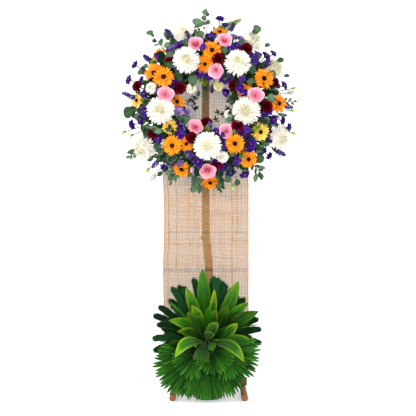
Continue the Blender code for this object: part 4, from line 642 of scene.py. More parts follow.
# bunches: kind, centimetres right of and above the wreath's centre, size, lift in centimetres, tone
spotDefaults = ("bell", 0, 0, 1, 0, 0)
bunches = {
    "mums_top_left": [
        ("mum", -9.9, 18.8, 1, 0.3), ("mum", -11.6, 33, 0.85, -3), ("pompon", -8, 7.2, 1, -1)],
    # the pompon with tone 1 takes the beige 'other' colours as a painted shade
    "mums_top_right": [("mum", 13.1, 17.4, 1, 0.3), ("pompon", 4.6, 8.6, 1, -1.5, 1)],
    "mums_upper_right": [
        ("mum", 20, 29.2, 0.9, -2.6), ("mum", 30.4, 17.3, 0.72, -2.6, 0.4),
        ("pompon", 31.4, 5.2, 0.9, -1.5)],
    "mums_left": [
        ("mum", -21.4, -3.6, 1.05, 0.3), ("mum", -29.4, -19.1), ("pompon", -25.6, 6.5, 1.05, 0.2)],
    "mums_right": [
        ("mum", 17.1, -3.9, 1.05, 0.3), ("mum", 32, -14.8, 0.95), ("pompon", 9.3, -4.8, 0.9, -1)],
    "mums_bottom": [("mum", -0.4, -19.6, 1.05, 0.6), ("pompon", 6.3, -24.3, 1.1)],
    "roses_top": [("rose", -5.8, 26.3, 1, 0.4), ("rose", 7.3, 28.3, 1, 0.6), ("rose", 3.4, 14.2, 1, 1.8)],
    "roses_left": [("rose", -19.1, 3.3, 1.05, 2)],
    "roses_right": [("rose", 21.1, 2.9, 1.05, 1.8)],
    "roses_bottom": [
        ("rose", -6, -10.8, 1, 0.8), ("rose", 7.9, -12.8, 0.95, 0.5), ("rose", -0.4, -30.4, 1.1, 1.6)],
    "gerberas_left": [
        ("gerbera", -24.4, 13.4, 1.05, 0.3), ("gerbera", -19.9, 11.1, 1.05, 2),
        ("gerbera", -22.5, 22.8, 0.8, -1.5), ("gerbera", -14.3, 0.6, 0.85, -1.3),
        ("gerbera", -32.6, 2, 0.85, -0.5, 1)],
    "gerberas_top": [
        ("gerbera", 1.6, 23.2, 1, 0.3), ("gerbera", -1.6, 17.3, 0.9, -0.9),
        ("gerbera", 5.2, 33.4, 0.85, -1)],
    "gerberas_right": [
        ("gerbera", 24.8, 10.8, 1.05, 1), ("gerbera", 31.9, 0.4, 1, 0.5),
        ("gerbera", 16.7, 5.2, 0.85, -1.4)],
    "gerberas_bottom_left": [
        ("gerbera", -16.2, -19.3, 1, 1), ("gerbera", -9.9, -18.5, 0.8, -1.2),
        ("gerbera", -12.2, -29.4, 0.95), ("gerbera", -17.3, -10.9, 0.8, -0.8, 1)],
    "gerberas_bottom_right": [
        ("gerbera", 11.8, -18.5, 1, 1), ("gerbera", 18, -25, 0.95, 0.5),
        ("gerbera", 0.8, -35.4, 0.9, -0.6), ("gerbera", 23.3, -13, 0.95, -0.3, 1)],
    "carnations_top": [
        ("carnation", 4.2, 19.2, 1, 1.7), ("carnation", 17.3, 25, 1, 0.9),
        ("carnation", 11.3, 8.2, 0.9, -0.8)],
    "carnations_left": [
        ("carnation", -32.6, 8.4), ("carnation", -17.3, 18.9, 0.9, -0.9),
        ("carnation", -12.9, 6.6, 1.05, 0.5)],
    "carnations_right": [
        ("carnation", 30.2, 10, 0.9, -0.6), ("carnation", 26.3, -1.6, 1, -0.5),
        ("carnation", 13, -10.6, 1.05, 1)],
    "carnations_bottom": [
        ("carnation", -1, -8), ("carnation", 3.6, -27.5, 0.9, -0.6), ("carnation", -25, -13.6, 1, -0.3),
        ("carnation", -7.2, -16, 1, 0.7)],
    "lisianthus_top": [
        ("bell", 5.3, 39.7, 0.9), ("bell", 7.8, 37, 0.8, -1), ("bell", 0.5, 30.3, 1.05, 0.3),
        ("statice", 10.9, 35.4, 0.9), ("statice", -2.3, 24.4, 1, 0.6), ("bud", 2.5, 35.3, 0.8),
        ("bell", -3.9, 13.4, 0.95), ("bell", 0.3, 12.3)],
    "lisianthus_upper_left": [
        ("bell", -12.6, 26.6, 1, 0.2), ("bell", -16.2, 27.9, 1, -0.3), ("bell", -17.6, 24.4, 0.85, -0.4),
        ("statice", -9.3, 31.3), ("statice", -17.5, 32.3), ("statice", -27.6, 21),
        ("bell", -33.8, 18.5, 0.9), ("bell", -36.6, 11.6), ("bell", -30.4, 16.3, 0.9, 0.2),
        ("statice", -37.6, 5, 0.8)],
    "lisianthus_left": [
        ("bell", -13.3, -3.9, 1.05, 0.3, 1), ("bell", -9.6, -3.6, 0.85, 0, 1),
        ("bud", -8.8, 0.3, 1.3, 0, 1), ("bell", -12.7, -9.4), ("bell", -35.2, -9.2),
        ("bell", -31.2, -7, 1, 0.2), ("bell", -28.6, -3.4, 1, 0.4), ("bud", -38.6, -12.4),
        ("bud", -35.2, -13.9)],
    "lisianthus_bottom": [
        ("bell", -12.2, -13.7, 0.9, 0.5), ("bell", -21.5, -24.6, 1.05), ("bell", -17.6, -26.6, 1, 0.3),
        ("bell", -20.2, -29, 0.95, -0.3), ("statice", -24, -26.8), ("bell", -4.6, -26.4, 1.05, 0.5),
        ("bud", -7.3, -29.6, 1.4, 0.5, 1), ("bud", -25.1, -33, 1.6, 0, 1), ("bud", -27.8, -29.8, 1.2),
        ("statice", -7.7, -23.6, 0.8)],
    "lisianthus_lower_right": [
        ("bell", 10.2, -31.2, 1.1), ("bell", 16.7, -31.9, 1.05), ("bell", 12.3, -25.7, 0.95),
        ("bell", 6.6, -29.4, 0.9, -0.2), ("bell", 19.3, -18.6, 1.05, 0.3), ("bell", 24.6, -21.4, 1.1),
        ("bell", 28, -23.4, 0.8), ("statice", 32.6, -21.8, 1.1), ("statice", 17.6, -12.4, 1.1, 0.3),
        ("bell", 3.6, -13, 1, 0.6), ("bud", 11.2, -37.6, 1.2)],
    "lisianthus_upper_right": [
        ("bell", 12.1, 31.3, 1, 0, 1), ("bell", 14.8, 30.5, 0.95, 0.3, 1), ("bell", 9.6, 23.9, 1.05, 0.3),
        ("bell", 13, 26.3, 0.9), ("bell", 7.6, 11, 1.1, 0.5), ("bell", 7.9, 5.2, 0.9),
        ("statice", 15.2, 10.4, 1, 0.6), ("bell", 26.6, 22.5, 1, 0.2), ("bell", 29.9, 23.6, 0.8),
        ("statice", 25.6, 18.3, 1.1, 0.3), ("statice", 20.3, 20.3, 1, 0.3)],
    "lisianthus_right": [
        ("bell", 34.9, 8.9, 0.95), ("bud", 37.4, 5.6, 1.4, 0, 1), ("bud", 38.9, 7.6),
        ("bell", 29.6, -7.3, 0.95, 0.3), ("bell", 34.2, -7.1, 0.9), ("bell", 25.2, -6.6, 0.9, 0.3),
        ("bell", 37, -10.5, 0.9), ("bud", 38.9, -13), ("bud", 38.5, -2.6), ("statice", 36.4, -1, 0.9)],
}
# small heads that fill the spaces: kind, centimetres from the centre, size
smallHeads = {
    "bell": (0.85, [
        (-16.8, 25.2), (-30.8, 11.3), (-29.3, 4.4), (-22.2, 5.5), (-28.5, -4.8), (-31.4, -6.9),
        (-13, -14.6), (-22.5, -16), (-23, -19.7), (20.5, 20.8), (22.7, 23.4), (15.9, -14.3), (7.3, -17.5),
        (18.8, -20.5), (19.5, -17.2), (13.4, -26.1), (3.4, -26.8), (6.9, -28.4), (31.6, 8.9), (27.2, -3.4),
        (25.2, -5.8), (14.1, 6.7), (15.5, 4.2), (8, 5.5), (-15.6, 8.8), (-9.3, -23.2), (27.7, -13.9)]),
    "statice": (0.9, [
        (-27.7, 21), (-23, 21.1), (-14.5, 15.8), (-13, -26.7), (22.5, 21.1), (13.6, -12.8), (6.6, -14.6),
        (26.8, -16.3), (0.7, -10.2), (1.9, 7.8), (16.5, -11.5), (6.5, -20.5), (20.5, 17.7), (-25.4, -20.2),
        (-35.1, 3.8)]),
}
bunchLooks = {
    "mums": (("mumPetals", "stemGreen"), "white_petals"),
    "roses": (("rosePetals", "stemGreen"), "pink_petals"),
    "gerberas": (("gerberaPetals", "gerberaEye", "stemGreen"), "orange_petals"),
    "carnations": (("carnationPetals", "stemGreen"), "dark_red_petals"),
    "lisianthus": (("lisianthusPetals", "stemGreen", "stamenYellow", "budSkin"), "purple_petals"),
    "greens": (("eucalyptusLeaf", "stemGreen", "fillerLeaf", "limeLeaf", "berrySkin"), "grey_green_leaf"),
}


def ringWay(theta):
    return Vector((math.cos(theta), 0.0, math.sin(theta)))


def held(value, low, high):
    return max(min(value, high), low)


# a place on the canopy from centimetres: centre, way it faces, turn round the ring, turn round its tube
def canopyPlace(x, z, lift, lean):
    x, z = x * cm, z * cm
    theta = math.atan2(z, x)
    share = held((math.hypot(x, z) - wreath["canopyRadius"]) / wreath["canopyTube"], -0.98, 0.98)
    phi = math.asin(share)
    centre = Vector((wreath["x"] + x, wreath["ringY"] - wreath["canopyTube"] * math.cos(phi) - lift * cm,
                     wreath["z"] + z))
    normal = ringWay(theta) * math.sin(lean * phi) + towardsFront * math.cos(lean * phi)
    return centre, normal.normalized(), theta, phi


def ringPoint(theta, phi, reach):
    rho = wreath["ringRadius"] + reach * math.sin(phi)
    return Vector((wreath["x"] + rho * math.cos(theta), wreath["ringY"] - reach * math.cos(phi),
                   wreath["z"] + rho * math.sin(theta)))


def foamReach(phi):
    a, b = wreath["foamHalfWidth"], wreath["foamHalfDepth"]
    return a * b / math.hypot(b * math.sin(phi), a * math.cos(phi))


# a round tube along points, with its own marks
def addTube(store, path, radii, around, slot=1, shade=0.5):
    rows = []
    side = (path[1] - path[0]).normalized().orthogonal().normalized()
    for k, point in enumerate(path):
        along = (path[min(k + 1, len(path) - 1)] - path[max(k - 1, 0)]).normalized()
        side = (side - along * side.dot(along)).normalized()
        other = along.cross(side)
        turns = [math.tau * i / around for i in range(around)]
        rows.append([point + radii[k] * (math.cos(a) * side + math.sin(a) * other) for a in turns])
    addRows(store, rows, slot, shade, closed=True)


def curveBetween(a, b, c, d, count):
    return [a * (1 - t) ** 3 + b * (3 * t * (1 - t) ** 2) + c * (3 * t * t * (1 - t)) + d * t ** 3
            for t in (k / count for k in range(count + 1))]


def addStem(store, head, normal, theta, phi, radius, slot=1):
    base = held(phi, -0.95, 1.15)
    foot = ringPoint(theta, base, foamReach(base) - 0.010)
    out = (ringPoint(theta, base, 1.0) - foot).normalized()
    run = (head - foot).length
    path = curveBetween(foot, foot + out * run * 0.35, head - normal * run * 0.40, head, 7)
    addTube(store, path, [radius] * len(path), 6, slot)


def buildBunch(node, spots):
    rng = random.Random(node)
    names, slotName = bunchLooks[node.split("_")[0]]
    store = newStore()
    for spot in spots:
        kind, x, z, size, lift, tone = spot + spotDefaults[len(spot):]
        radius, lean, stem = heads[kind]
        centre, normal, theta, phi = canopyPlace(x, z, lift, lean)
        choice = rng.choice(templates[kind])
        scale = radius * size
        tilt = Matrix.Rotation(rng.uniform(-0.14, 0.14), 4, "X")
        tilt = tilt @ Matrix.Rotation(rng.uniform(0, math.tau), 4, "Z")
        matrix = Matrix.Translation(centre) @ trackTurn(normal).to_4x4() @ tilt @ Matrix.Scale(scale, 4)
        before = len(store["slots"])
        addTemplate(store, choice, matrix, tone, rng.uniform(-0.15, 0.15))
        if kind == "bud":
            store["slots"][before:] = [3 if s == 0 else s for s in store["slots"][before:]]
        addStem(store, centre - normal * scale * 0.5, normal, theta, phi, stem, names.index("stemGreen"))
    buildPiece("blooms_" + node, store, names, node)


def shareSmallHeads():
    middles = {}
    for node, spots in bunches.items():
        if node.startswith("lisianthus"):
            middles[node] = (sum(s[1] for s in spots) / len(spots), sum(s[2] for s in spots) / len(spots))
    spots = [(kind, x, z, size) for kind, (size, places) in smallHeads.items() for x, z in places]
    for number, (kind, x, z, size) in enumerate(spots):
        node = min(middles, key=lambda name: math.hypot(x - middles[name][0], z - middles[name][1]))
        tone = 0.35 if number % 5 == 0 else 0.0
        bunches[node].append((kind, x, z, size, 0.2 - 0.5 * (number % 3), tone))


shareSmallHeads()
for node, spots in bunches.items():
    buildBunch(node, spots)
print("bunches:", len(bunches))


# leafy sprays and the small leaves between the blooms: place, leaves, length, width, outline, tone
sprays = {
    "greens_top": [
        (-1.2, 43, 4, 0.03, 0.026, "round", 0.4), (15.2, 39.4, 36, 0.04, 0.007, "narrow", 0.2),
        (21.8, 34, 3, 0.03, 0.028, "round", 0.8)],
    "greens_upper_left": [
        (-25.4, 31.6, 3, 0.03, 0.026, "round", 0.6), (-5.4, 36, 3, 0.034, 0.026, "round", 0.3),
        (-19.5, 34, 4, 0.03, 0.024, "round", 0.3)],
    "greens_upper_right": [
        (39.4, 1.6, 6, 0.034, 0.018, "oval", 0.3), (10.4, 0.4, 5, 0.026, 0.014, "oval", 1)],
    "greens_left": [(-37, -4.2, 3, 0.04, 0.036, "round", 0.9), (-7.6, 1.6, 5, 0.026, 0.012, "oval", 1)],
    "greens_bottom_left": [
        (-17, -35.2, 8, 0.042, 0.022, "oval", 0.3), (-36.4, -23.6, 7, 0.038, 0.024, "oval", 0.2)],
    "greens_bottom_right": [
        (5.6, -39, 8, 0.038, 0.022, "oval", 0.9), (24.4, -32, 8, 0.04, 0.018, "oval", 0.4),
        (-6.2, -38.6, 8, 0.038, 0.022, "oval", 0.2)],
}
# single leaves seen between the blooms: centimetres from the wreath's centre, length, width, degrees, tone
soloLeaves = [
    (-26.8, 32.8, 3.6, 3.4, 130, 0.8), (22.2, 34.7, 4.4, 4.2, 70, 0.75), (21.6, 33.4, 3.6, 3.4, 190, 0.6),
    (-5.3, 37.7, 4.6, 4.6, 100, 0.35), (-3.9, 36.9, 4.2, 3.8, 60, 0.2), (-1.6, 42.3, 3, 2.8, 80, 0.5),
    (-2.2, 40, 2.6, 2.4, 20, 0.4), (-1.9, 37.4, 2.2, 2, 10, 0.4), (-3.9, 32, 4.4, 4.2, 90, 0.15),
    (-19.1, 32.6, 3.4, 3.2, 120, 0.4), (-18.6, 27.2, 3.8, 3.6, 100, 0.25), (-21.4, 29.4, 3, 1.4, 95, 0.3),
    (-24, 27.6, 2.8, 1.2, 175, 0.3), (-17.2, 21.7, 4.8, 3.4, 190, 0.55), (-13.6, 22.8, 3.4, 3.6, 60, 0.4),
    (-9.9, 27.4, 3.4, 3.6, 90, 0.9), (-17.3, 16.5, 5.2, 3.4, 160, 0.9), (-7, 10.5, 6.6, 4.3, 92, 0),
    (19.4, 14.8, 5, 3.6, 100, 0.6), (19.1, 9.3, 4.6, 2.8, 190, 0.5), (29.3, 14, 3.6, 3.6, 150, 0.2),
    (-36.6, -3.6, 5.6, 5.8, 200, 0.95), (-34.8, -2.4, 4.2, 3.8, 20, 0.9), (-32.6, -5.6, 4, 3, 100, 0.2),
    (-9.3, -6.7, 3.2, 3, 80, 0.6), (28.1, 2.2, 4.4, 3.4, 80, 0.35), (-24.5, -11.6, 5.8, 2.8, 155, 0.4),
    (-22.4, -12.8, 4.8, 2.4, 190, 0.45), (-28.5, -14.8, 3.2, 2.8, 40, 0.3),
    (-35.4, -21.5, 4.2, 2.1, 20, 0.8), (-24.2, -23.4, 2.4, 3.4, 80, 0.4),
    (-18.2, -31.1, 3.6, 2.8, 200, 0.6), (-15.6, -33.4, 2.2, 3, 270, 0.8),
    (-17.9, -33.4, 2.4, 1.7, 250, 0.3), (-6.7, -38.6, 4.2, 3.2, 235, 0.4), (-4, -38.6, 4.8, 2.4, 265, 0.7),
    (-4.4, -35.2, 3.6, 2.4, 200, 0.4), (4.8, -37.1, 3.4, 2.6, 260, 0.8), (8.8, -34, 3.8, 3.4, 290, 0.6),
    (3.9, -34, 3.4, 2.3, 250, 0.8), (10.8, -22.8, 3.6, 3.2, 60, 0.3), (23.7, -24.8, 4.2, 4.2, 320, 0.9),
    (24.3, -28.7, 4.8, 1.9, 350, 0.4), (21.6, -33.4, 4.6, 2.3, 265, 0.4), (24, -32.6, 4.8, 2.2, 295, 0.6),
    (34.3, -4.7, 4.8, 1.8, 5, 0.9), (0.7, -7.6, 3, 2.8, 150, 0.4), (9.3, -7.3, 3.6, 2.8, 200, 0.6),
    (-8.2, -23.7, 2, 4, 90, 0.3), (7.3, 23.4, 4.4, 2.6, 95, 0.9), (9.6, 21.7, 4.4, 2.2, 70, 0.5),
    (-13.4, 11.9, 6.2, 3.4, 300, 1), (-1, 3.9, 2.4, 1.6, 265, 0.9), (-4.6, 5, 3, 2, 270, 0.9),
    (15.3, 12.2, 4.6, 1.8, 200, 0.4), (-31, 14.8, 3.4, 2.8, 190, 0.9), (-28.6, 17.6, 3.4, 2.2, 150, 0.3),
    (15.6, -0.4, 3.4, 3, 240, 0.9), (-26.6, -24.6, 4.2, 2.6, 215, 0.5), (30.4, -20.4, 4, 2.6, 330, 0.9),
    (-8.6, -31.6, 3.6, 2.8, 240, 0.4), (13.2, -35.6, 3.8, 2.8, 280, 0.9),
    (-22.2, -31.6, 3.6, 2.2, 225, 0.9), (33, 20.4, 3.8, 2.6, 20, 0.9), (27, 27.2, 3.6, 2.4, 40, 0.4),
    (35.8, 13.2, 3.4, 1.8, 15, 0.9)]
# tight eucalyptus tips: place and radius in centimetres
rosettes = [
    (-1.4, 7.9, 2), (7.6, 12, 2), (10.5, 2.4, 2.4), (-28.2, 0.6, 2.4), (-11.6, -7.9, 2.6),
    (25.4, -8.2, 2.7), (-17.3, -25.2, 2.4), (-18.9, 31.4, 1.8), (-13, -7, 1.8), (-15.4, -24.6, 1.8)]
# bright sprigs and berries: place in centimetres, tone
limeSprigs = [
    (3.6, -6.9, 1), (22.2, -11, 0.4), (20.6, -12.6, 0.3), (-1.8, 9.6, 0.9), (-3.6, 10.4, 0.8),
    (11.6, -13.2, 0.4), (-0.6, -11.6, 0.1), (15, -24, 0.9), (-25, 19.4, 0.9), (33.6, -10.6, 0.9),
    (-6.6, 3.2, 1), (-7.4, 0.4, 1), (-6.2, -1.6, 1), (9.6, 1.4, 1), (9, -2.2, 1), (4.4, -3.6, 1),
    (7, -4.4, 1)]
berries = [
    (-6.2, 35.8, 0), (-2, 35.4, 0), (-4.2, 34.8, 0), (-0.6, 32.6, 1), (0.8, 32.8, 1), (1.9, 32.4, 1),
    (4.4, 33.4, 1), (5.4, 32.2, 1), (4, 31.2, 1)]
filler = {"count": 1150, "length": (0.028, 0.052), "depth": (0.40, 0.90), "turn": (-0.90, 1.30),
          "wide": {"oval": 0.46, "round": 0.72, "narrow": 0.24}}
fringe = {"count": 330, "length": (0.022, 0.040), "depth": (0.62, 1.02), "turn": (0.80, 1.45), "clear": 0.030,
          "wide": {"oval": 0.46, "round": 0.74, "narrow": 0.22}}


def growLeaf(store, base, aim, face, length, width, shape, shade, tint, slot, curl=-0.10):
    out = aim.normalized()
    up = (face - out * face.dot(out)).normalized()
    growPetal(store, base, out, up, shape, 7, 4, length, width, curl=curl * length, cup=0.22, shade=shade,
              tint=tint, slot=slot)


# run: how far a spray reaches past the blooms, by where it is and how large its leaves are
sprayLook = {"lean": 0.7, "inner": 0.13, "longLeaf": 0.039, "forward": 0.35, "sideways": (0.9, 0, -0.2),
             "run": {"inner": 0.030, "long": 0.100, "short": 0.075, "narrow": 0.12}}


def buildSpray(store, spray, rng):
    x, z, count, length, width, shape, tint = spray
    tip, normal, theta, phi = canopyPlace(x, z, 0.0, sprayLook["lean"])
    inside = math.hypot(x, z) * cm < sprayLook["inner"]
    heading = -ringWay(theta) if inside else ringWay(theta)
    run = sprayLook["run"]["inner" if inside else "long" if length > sprayLook["longLeaf"] else "short"]
    forward = sprayLook["forward"]
    way = (heading * math.cos(forward) - Vector((0, 1, 0)) * math.sin(forward)).normalized()
    narrow = shape == "narrow"
    if narrow:
        way = (way + Vector(sprayLook["sideways"])).normalized()
        run = sprayLook["run"]["narrow"]
    start = tip - way * run
    foot = ringPoint(theta, -0.9 if inside else 1.05, 0.034)
    path = curveBetween(foot, foot + heading * 0.02, start - way * 0.02, start, 5)
    path += [start + way * run * k / 5 for k in range(1, 6)]
    addTube(store, path, [0.0020 - 0.0012 * k / (len(path) - 1) for k in range(len(path))], 5)
    for k in range(count):
        share = (k + 1) / count
        across = way.cross(Vector((0, 1, 0))).normalized() * (1.0 if k % 2 else -1.0)
        aim = way + across * ((1.5 if narrow else 1.0) if k < count - 1 else 0.0)
        base = start + way * run * (share - 0.06)
        grow = 1.0 - (0.75 if narrow else 0.40) * share
        size = length * grow * rng.uniform(0.88, 1.08)
        face = towardsFront + across * rng.uniform(-0.5, 0.5) + heading * rng.uniform(0.0, 0.5)
        growLeaf(store, base, aim, face, size, width * (1.0 if narrow else grow), shape, rng.random(),
                 held(tint + rng.uniform(-0.15, 0.15), 0, 1), 3 if narrow else 0)


def nearestNode(middles, theta):
    return min(middles, key=lambda name: abs(math.remainder(theta - middles[name], math.tau)))


def overBigHead(x, z, clear):
    bigKinds = ("mum", "gerbera", "rose", "carnation")
    spots = [spot for node in bunches for spot in bunches[node] if spot[0] in bigKinds]
    return any(math.hypot(x - wreath["x"] - spot[1] * cm, z - wreath["z"] - spot[2] * cm) < clear
               for spot in spots)


soloLook = {"lift": (-0.2, 1.6), "lean": 0.30, "roundFrom": 0.72, "stem": 0.0010}


def addSolo(store, row, rng):
    x, z, length, width, degrees, tone = row
    centre, normal, theta, phi = canopyPlace(x, z, rng.uniform(*soloLook["lift"]), soloLook["lean"])
    way = ringWay(math.radians(degrees))
    aim = (way - normal * way.dot(normal) * rng.uniform(0.5, 1.0)).normalized()
    face = (normal + Vector((rng.uniform(-0.3, 0.3), -0.2, rng.uniform(-0.1, 0.5)))).normalized()
    base = centre - aim * length * cm * 0.5
    shape = "round" if width > soloLook["roundFrom"] * length else "oval"
    growLeaf(store, base, aim, face, length * cm, width * cm, shape, rng.random(), tone, 0,
             rng.uniform(-0.25, 0.05))
    hold = held(phi, -0.9, 1.1)
    foot = ringPoint(theta, hold, foamReach(hold) - 0.008)
    run = (base - foot).length
    path = curveBetween(foot, foot + (foot - ringPoint(theta, hold, 0.0)).normalized() * run * 0.4,
                        base - aim * run * 0.3, base, 6)
    addTube(store, path + [base + aim * length * cm * 0.3], [soloLook["stem"]] * 8, 5)


rosetteLook = {"leaves": 13, "lift": 0.6, "lean": 0.6, "stem": 0.0016}


def addRosette(store, row, rng):
    x, z, radius = row
    reach = radius * cm
    centre, normal, theta, phi = canopyPlace(x, z, rosetteLook["lift"], rosetteLook["lean"])
    turn = trackTurn(normal)
    for k in range(rosetteLook["leaves"]):
        t = k / (rosetteLook["leaves"] - 1)
        out, up = polarWay(100 - 84 * t, k * goldenTurn)
        growPetal(store, centre - normal * radius * cm * 0.2, turn @ out, turn @ up, "round", 5, 4,
                  reach * (1.0 - 0.42 * t), reach * 0.95, curl=reach * 0.25, cup=0.30, shade=rng.random(),
                  tint=0.25 * (1.0 - t))
    addStem(store, centre, normal, theta, phi, rosetteLook["stem"])


sprigLook = {"leaves": 9, "length": 0.019, "width": 0.0095, "step": 0.0022, "lift": 0.8, "lean": 0.6,
             "stem": 0.0011}


def addSprig(store, row, rng):
    x, z, tone = row
    centre, normal, theta, phi = canopyPlace(x, z, sprigLook["lift"], sprigLook["lean"])
    turn = trackTurn(normal)
    for k in range(sprigLook["leaves"]):
        out, up = polarWay(88 - 7 * k, k * goldenTurn)
        spot = centre + normal * (sprigLook["step"] * k - 0.012)
        growPetal(store, spot, turn @ out, turn @ up, "oval", 4, 2,
                  sprigLook["length"] * rng.uniform(0.8, 1.1), sprigLook["width"], curl=0.002, cup=0.3,
                  shade=rng.random(), slot=2 if tone > 0.9 else 3)
    addStem(store, centre, normal, theta, phi, sprigLook["stem"])


berryLook = {"radius": 0.0055, "tips": 4, "lift": -0.6, "lean": 0.9, "stem": 0.0010}


def addBerry(store, row, rng):
    x, z, tone = row
    centre, normal, theta, phi = canopyPlace(x, z, berryLook["lift"], berryLook["lean"])
    local = newStore()
    profile = [(0.02, -1.0), (0.62, -0.78), (1.0, 0.0), (0.80, 0.60), (0.34, 0.92), (0.24, 0.80),
               (0.02, 0.78)]
    addTurned(local, profile, 9, 4, rng.random(), float(tone))
    for k in range(berryLook["tips"]):
        out, up = polarWay(30, math.tau * k / berryLook["tips"])
        growPetal(local, Vector((0, 0, 0.80)), out, up, "berryTip", 1, 1, 0.35, 0.14, shade=0.3, slot=1)
    closeTemplate(local)
    matrix = Matrix.Translation(centre) @ trackTurn(normal).to_4x4() @ Matrix.Scale(berryLook["radius"], 4)
    addTemplate(store, local, matrix, 0.0)
    addStem(store, centre, normal, theta, phi, berryLook["stem"])


# where one of many small leaves starts: turn round the ring, turn round the tube, base, outwards, around
def startLeaf(look, k, rng):
    theta = math.tau * (k + rng.random()) / look["count"]
    phi = rng.uniform(*look["turn"])
    base = ringPoint(theta, phi, rng.uniform(*look["depth"]) * wreath["canopyTube"])
    return theta, phi, base, ringWay(theta), Vector((-math.sin(theta), 0.0, math.cos(theta)))


def growFiller(stores, middles, rng):
    for k in range(filler["count"]):
        theta, phi, base, outward, around = startLeaf(filler, k, rng)
        out = (base - ringPoint(theta, phi, 0.0)).normalized()
        aim = out * 0.6 + outward * rng.uniform(0.0, 0.8) + around * rng.uniform(-1.0, 1.0)
        face = towardsFront + outward * 0.4 * math.sin(phi) + around * rng.uniform(-0.5, 0.5)
        length = rng.uniform(*filler["length"])
        if base.y + aim.normalized().y * length > wreath["back"]:
            aim = aim - Vector((0, 1, 0))
        shape = rng.choice(("oval", "oval", "round", "narrow"))
        store = stores[nearestNode(middles, theta)]
        growLeaf(store, base, aim, face, length, length * filler["wide"][shape], shape, rng.random(),
                 rng.random() ** 3, 2)
        if k % 3 == 0:
            addTube(store, [ringPoint(theta, held(phi, -0.9, 1.1), 0.024), base], [0.0011, 0.0009], 4)


def growFringe(stores, middles, rng):
    for k in range(fringe["count"]):
        theta, phi, base, outward, around = startLeaf(fringe, k, rng)
        aim = outward + around * rng.uniform(-1.0, 1.0) - Vector((0, rng.uniform(0.0, 0.5), 0))
        face = towardsFront + around * rng.uniform(-0.6, 0.6) + outward * rng.uniform(-0.3, 0.5)
        length = rng.uniform(*fringe["length"])
        way = aim.normalized()
        middle = base + way * length * 0.5
        if overBigHead(middle.x, middle.z, fringe["clear"]):
            continue
        shape = rng.choice(("oval", "round", "narrow"))
        store = stores[nearestNode(middles, theta)]
        growLeaf(store, base, aim, face, length, length * fringe["wide"][shape], shape, rng.random(),
                 rng.random(), 0 if k % 2 else 2)
        foot = ringPoint(theta, 1.1, 0.024)
        path = curveBetween(foot, foot.lerp(base, 0.4) + outward * 0.01, base - way * 0.01,
                            base + way * 0.004, 4)
        addTube(store, path, [0.0010] * 5, 4)


def buildGreens():
    rng = random.Random(41)
    stores = {node: newStore() for node in sprays}
    middles = {}
    for node, rows in sprays.items():
        for spray in rows:
            buildSpray(stores[node], spray, rng)
        outer = [row for row in rows if math.hypot(row[0], row[1]) > 15]
        middles[node] = math.atan2(sum(r[1] for r in outer), sum(r[0] for r in outer))
    for rows, grow in ((soloLeaves, addSolo), (rosettes, addRosette), (limeSprigs, addSprig),
                       (berries, addBerry)):
        for row in rows:
            grow(stores[nearestNode(middles, math.atan2(row[1], row[0]))], row, rng)
    growFiller(stores, middles, rng)
    growFringe(stores, middles, rng)
    names, slotName = bunchLooks["greens"]
    for node, store in stores.items():
        buildPiece("sprays_" + node, store, names, node)


buildGreens()
print("sprays and small leaves done")


# foam ring, tray, pot and pot foam, each turned from its profile
def turnProfile(profile, steps, centre, axis="Z"):
    store = newStore()
    rows = []
    for radius, height in profile:
        turns = [math.tau * k / steps for k in range(steps)]
        spots = [(radius * math.cos(a), radius * math.sin(a)) for a in turns]
        rows.append([centre + Vector((x, height, y) if axis == "Y" else (x, y, height)) for x, y in spots])
    addRows(store, rows, closed=True)
    return store


trayLook = {"gap": 0.0003, "wall": 0.0016, "lip": 0.0022}
potLook = {"y": -0.130, "radius": 0.080, "foot": 0.060, "height": 0.185, "wall": 0.003, "foamTop": 0.222,
           "gap": 0.0006, "axis": 0.0001}


def buildHolders():
    centre = Vector((wreath["x"], 0.0, wreath["z"]))
    ring, y = wreath["ringRadius"], wreath["ringY"]
    half, deep = wreath["foamHalfWidth"], wreath["foamHalfDepth"]
    profile = [(ring - half, y + deep)]
    for k in range(13):
        phi = -0.5 * math.pi + math.pi * k / 12
        profile.append((ring + half * math.sin(phi), y - deep * math.cos(phi)))
    profile += [(ring + half, y + deep), (ring, y + deep), (ring - half, y + deep)]
    buildPiece("foamRing", turnProfile(profile, 96, centre, "Y"), ["wetFoam"], "foam_ring")
    gap, wall, lip = trayLook["gap"], trayLook["wall"], trayLook["lip"]
    inner, outer, base = ring - half - gap, ring + half + gap, y + deep + gap
    profile = [(inner, base), (outer, base), (outer, y + 0.010), (outer + lip, y + 0.0095),
               (outer + lip, y + 0.012), (outer + wall, y + 0.0125), (outer + wall, base + wall),
               (inner, base + wall), (inner, base)]
    buildPiece("ringTray", turnProfile(profile, 96, centre, "Y"), ["potPlastic"], "ring_tray")
    centre = Vector((0.0, potLook["y"], 0.0))
    radius, foot, height, wall = potLook["radius"], potLook["foot"], potLook["height"], potLook["wall"]
    axis, foamTop = potLook["axis"], potLook["foamTop"]
    profile = [(axis, 0.0), (foot - 0.002, 0.0), (foot, 0.002), (radius - 0.0015, height - 0.014),
               (radius + 0.0015, height - 0.013), (radius + 0.0020, height - 0.002),
               (radius + 0.0010, height), (radius - wall, height), (foot - wall, wall), (axis, wall)]
    buildPiece("potShell", turnProfile(profile, 64, centre), ["potPlastic"], "pot")
    top = radius - wall - potLook["gap"]
    profile = [(axis, 0.004), (foot - wall - potLook["gap"], 0.004), (top, height),
               (top - 0.001, foamTop - 0.012), (top - 0.012, foamTop), (axis, foamTop)]
    buildPiece("potFoam", turnProfile(profile, 64, centre), ["wetFoam"], "pot_foam")


buildHolders()


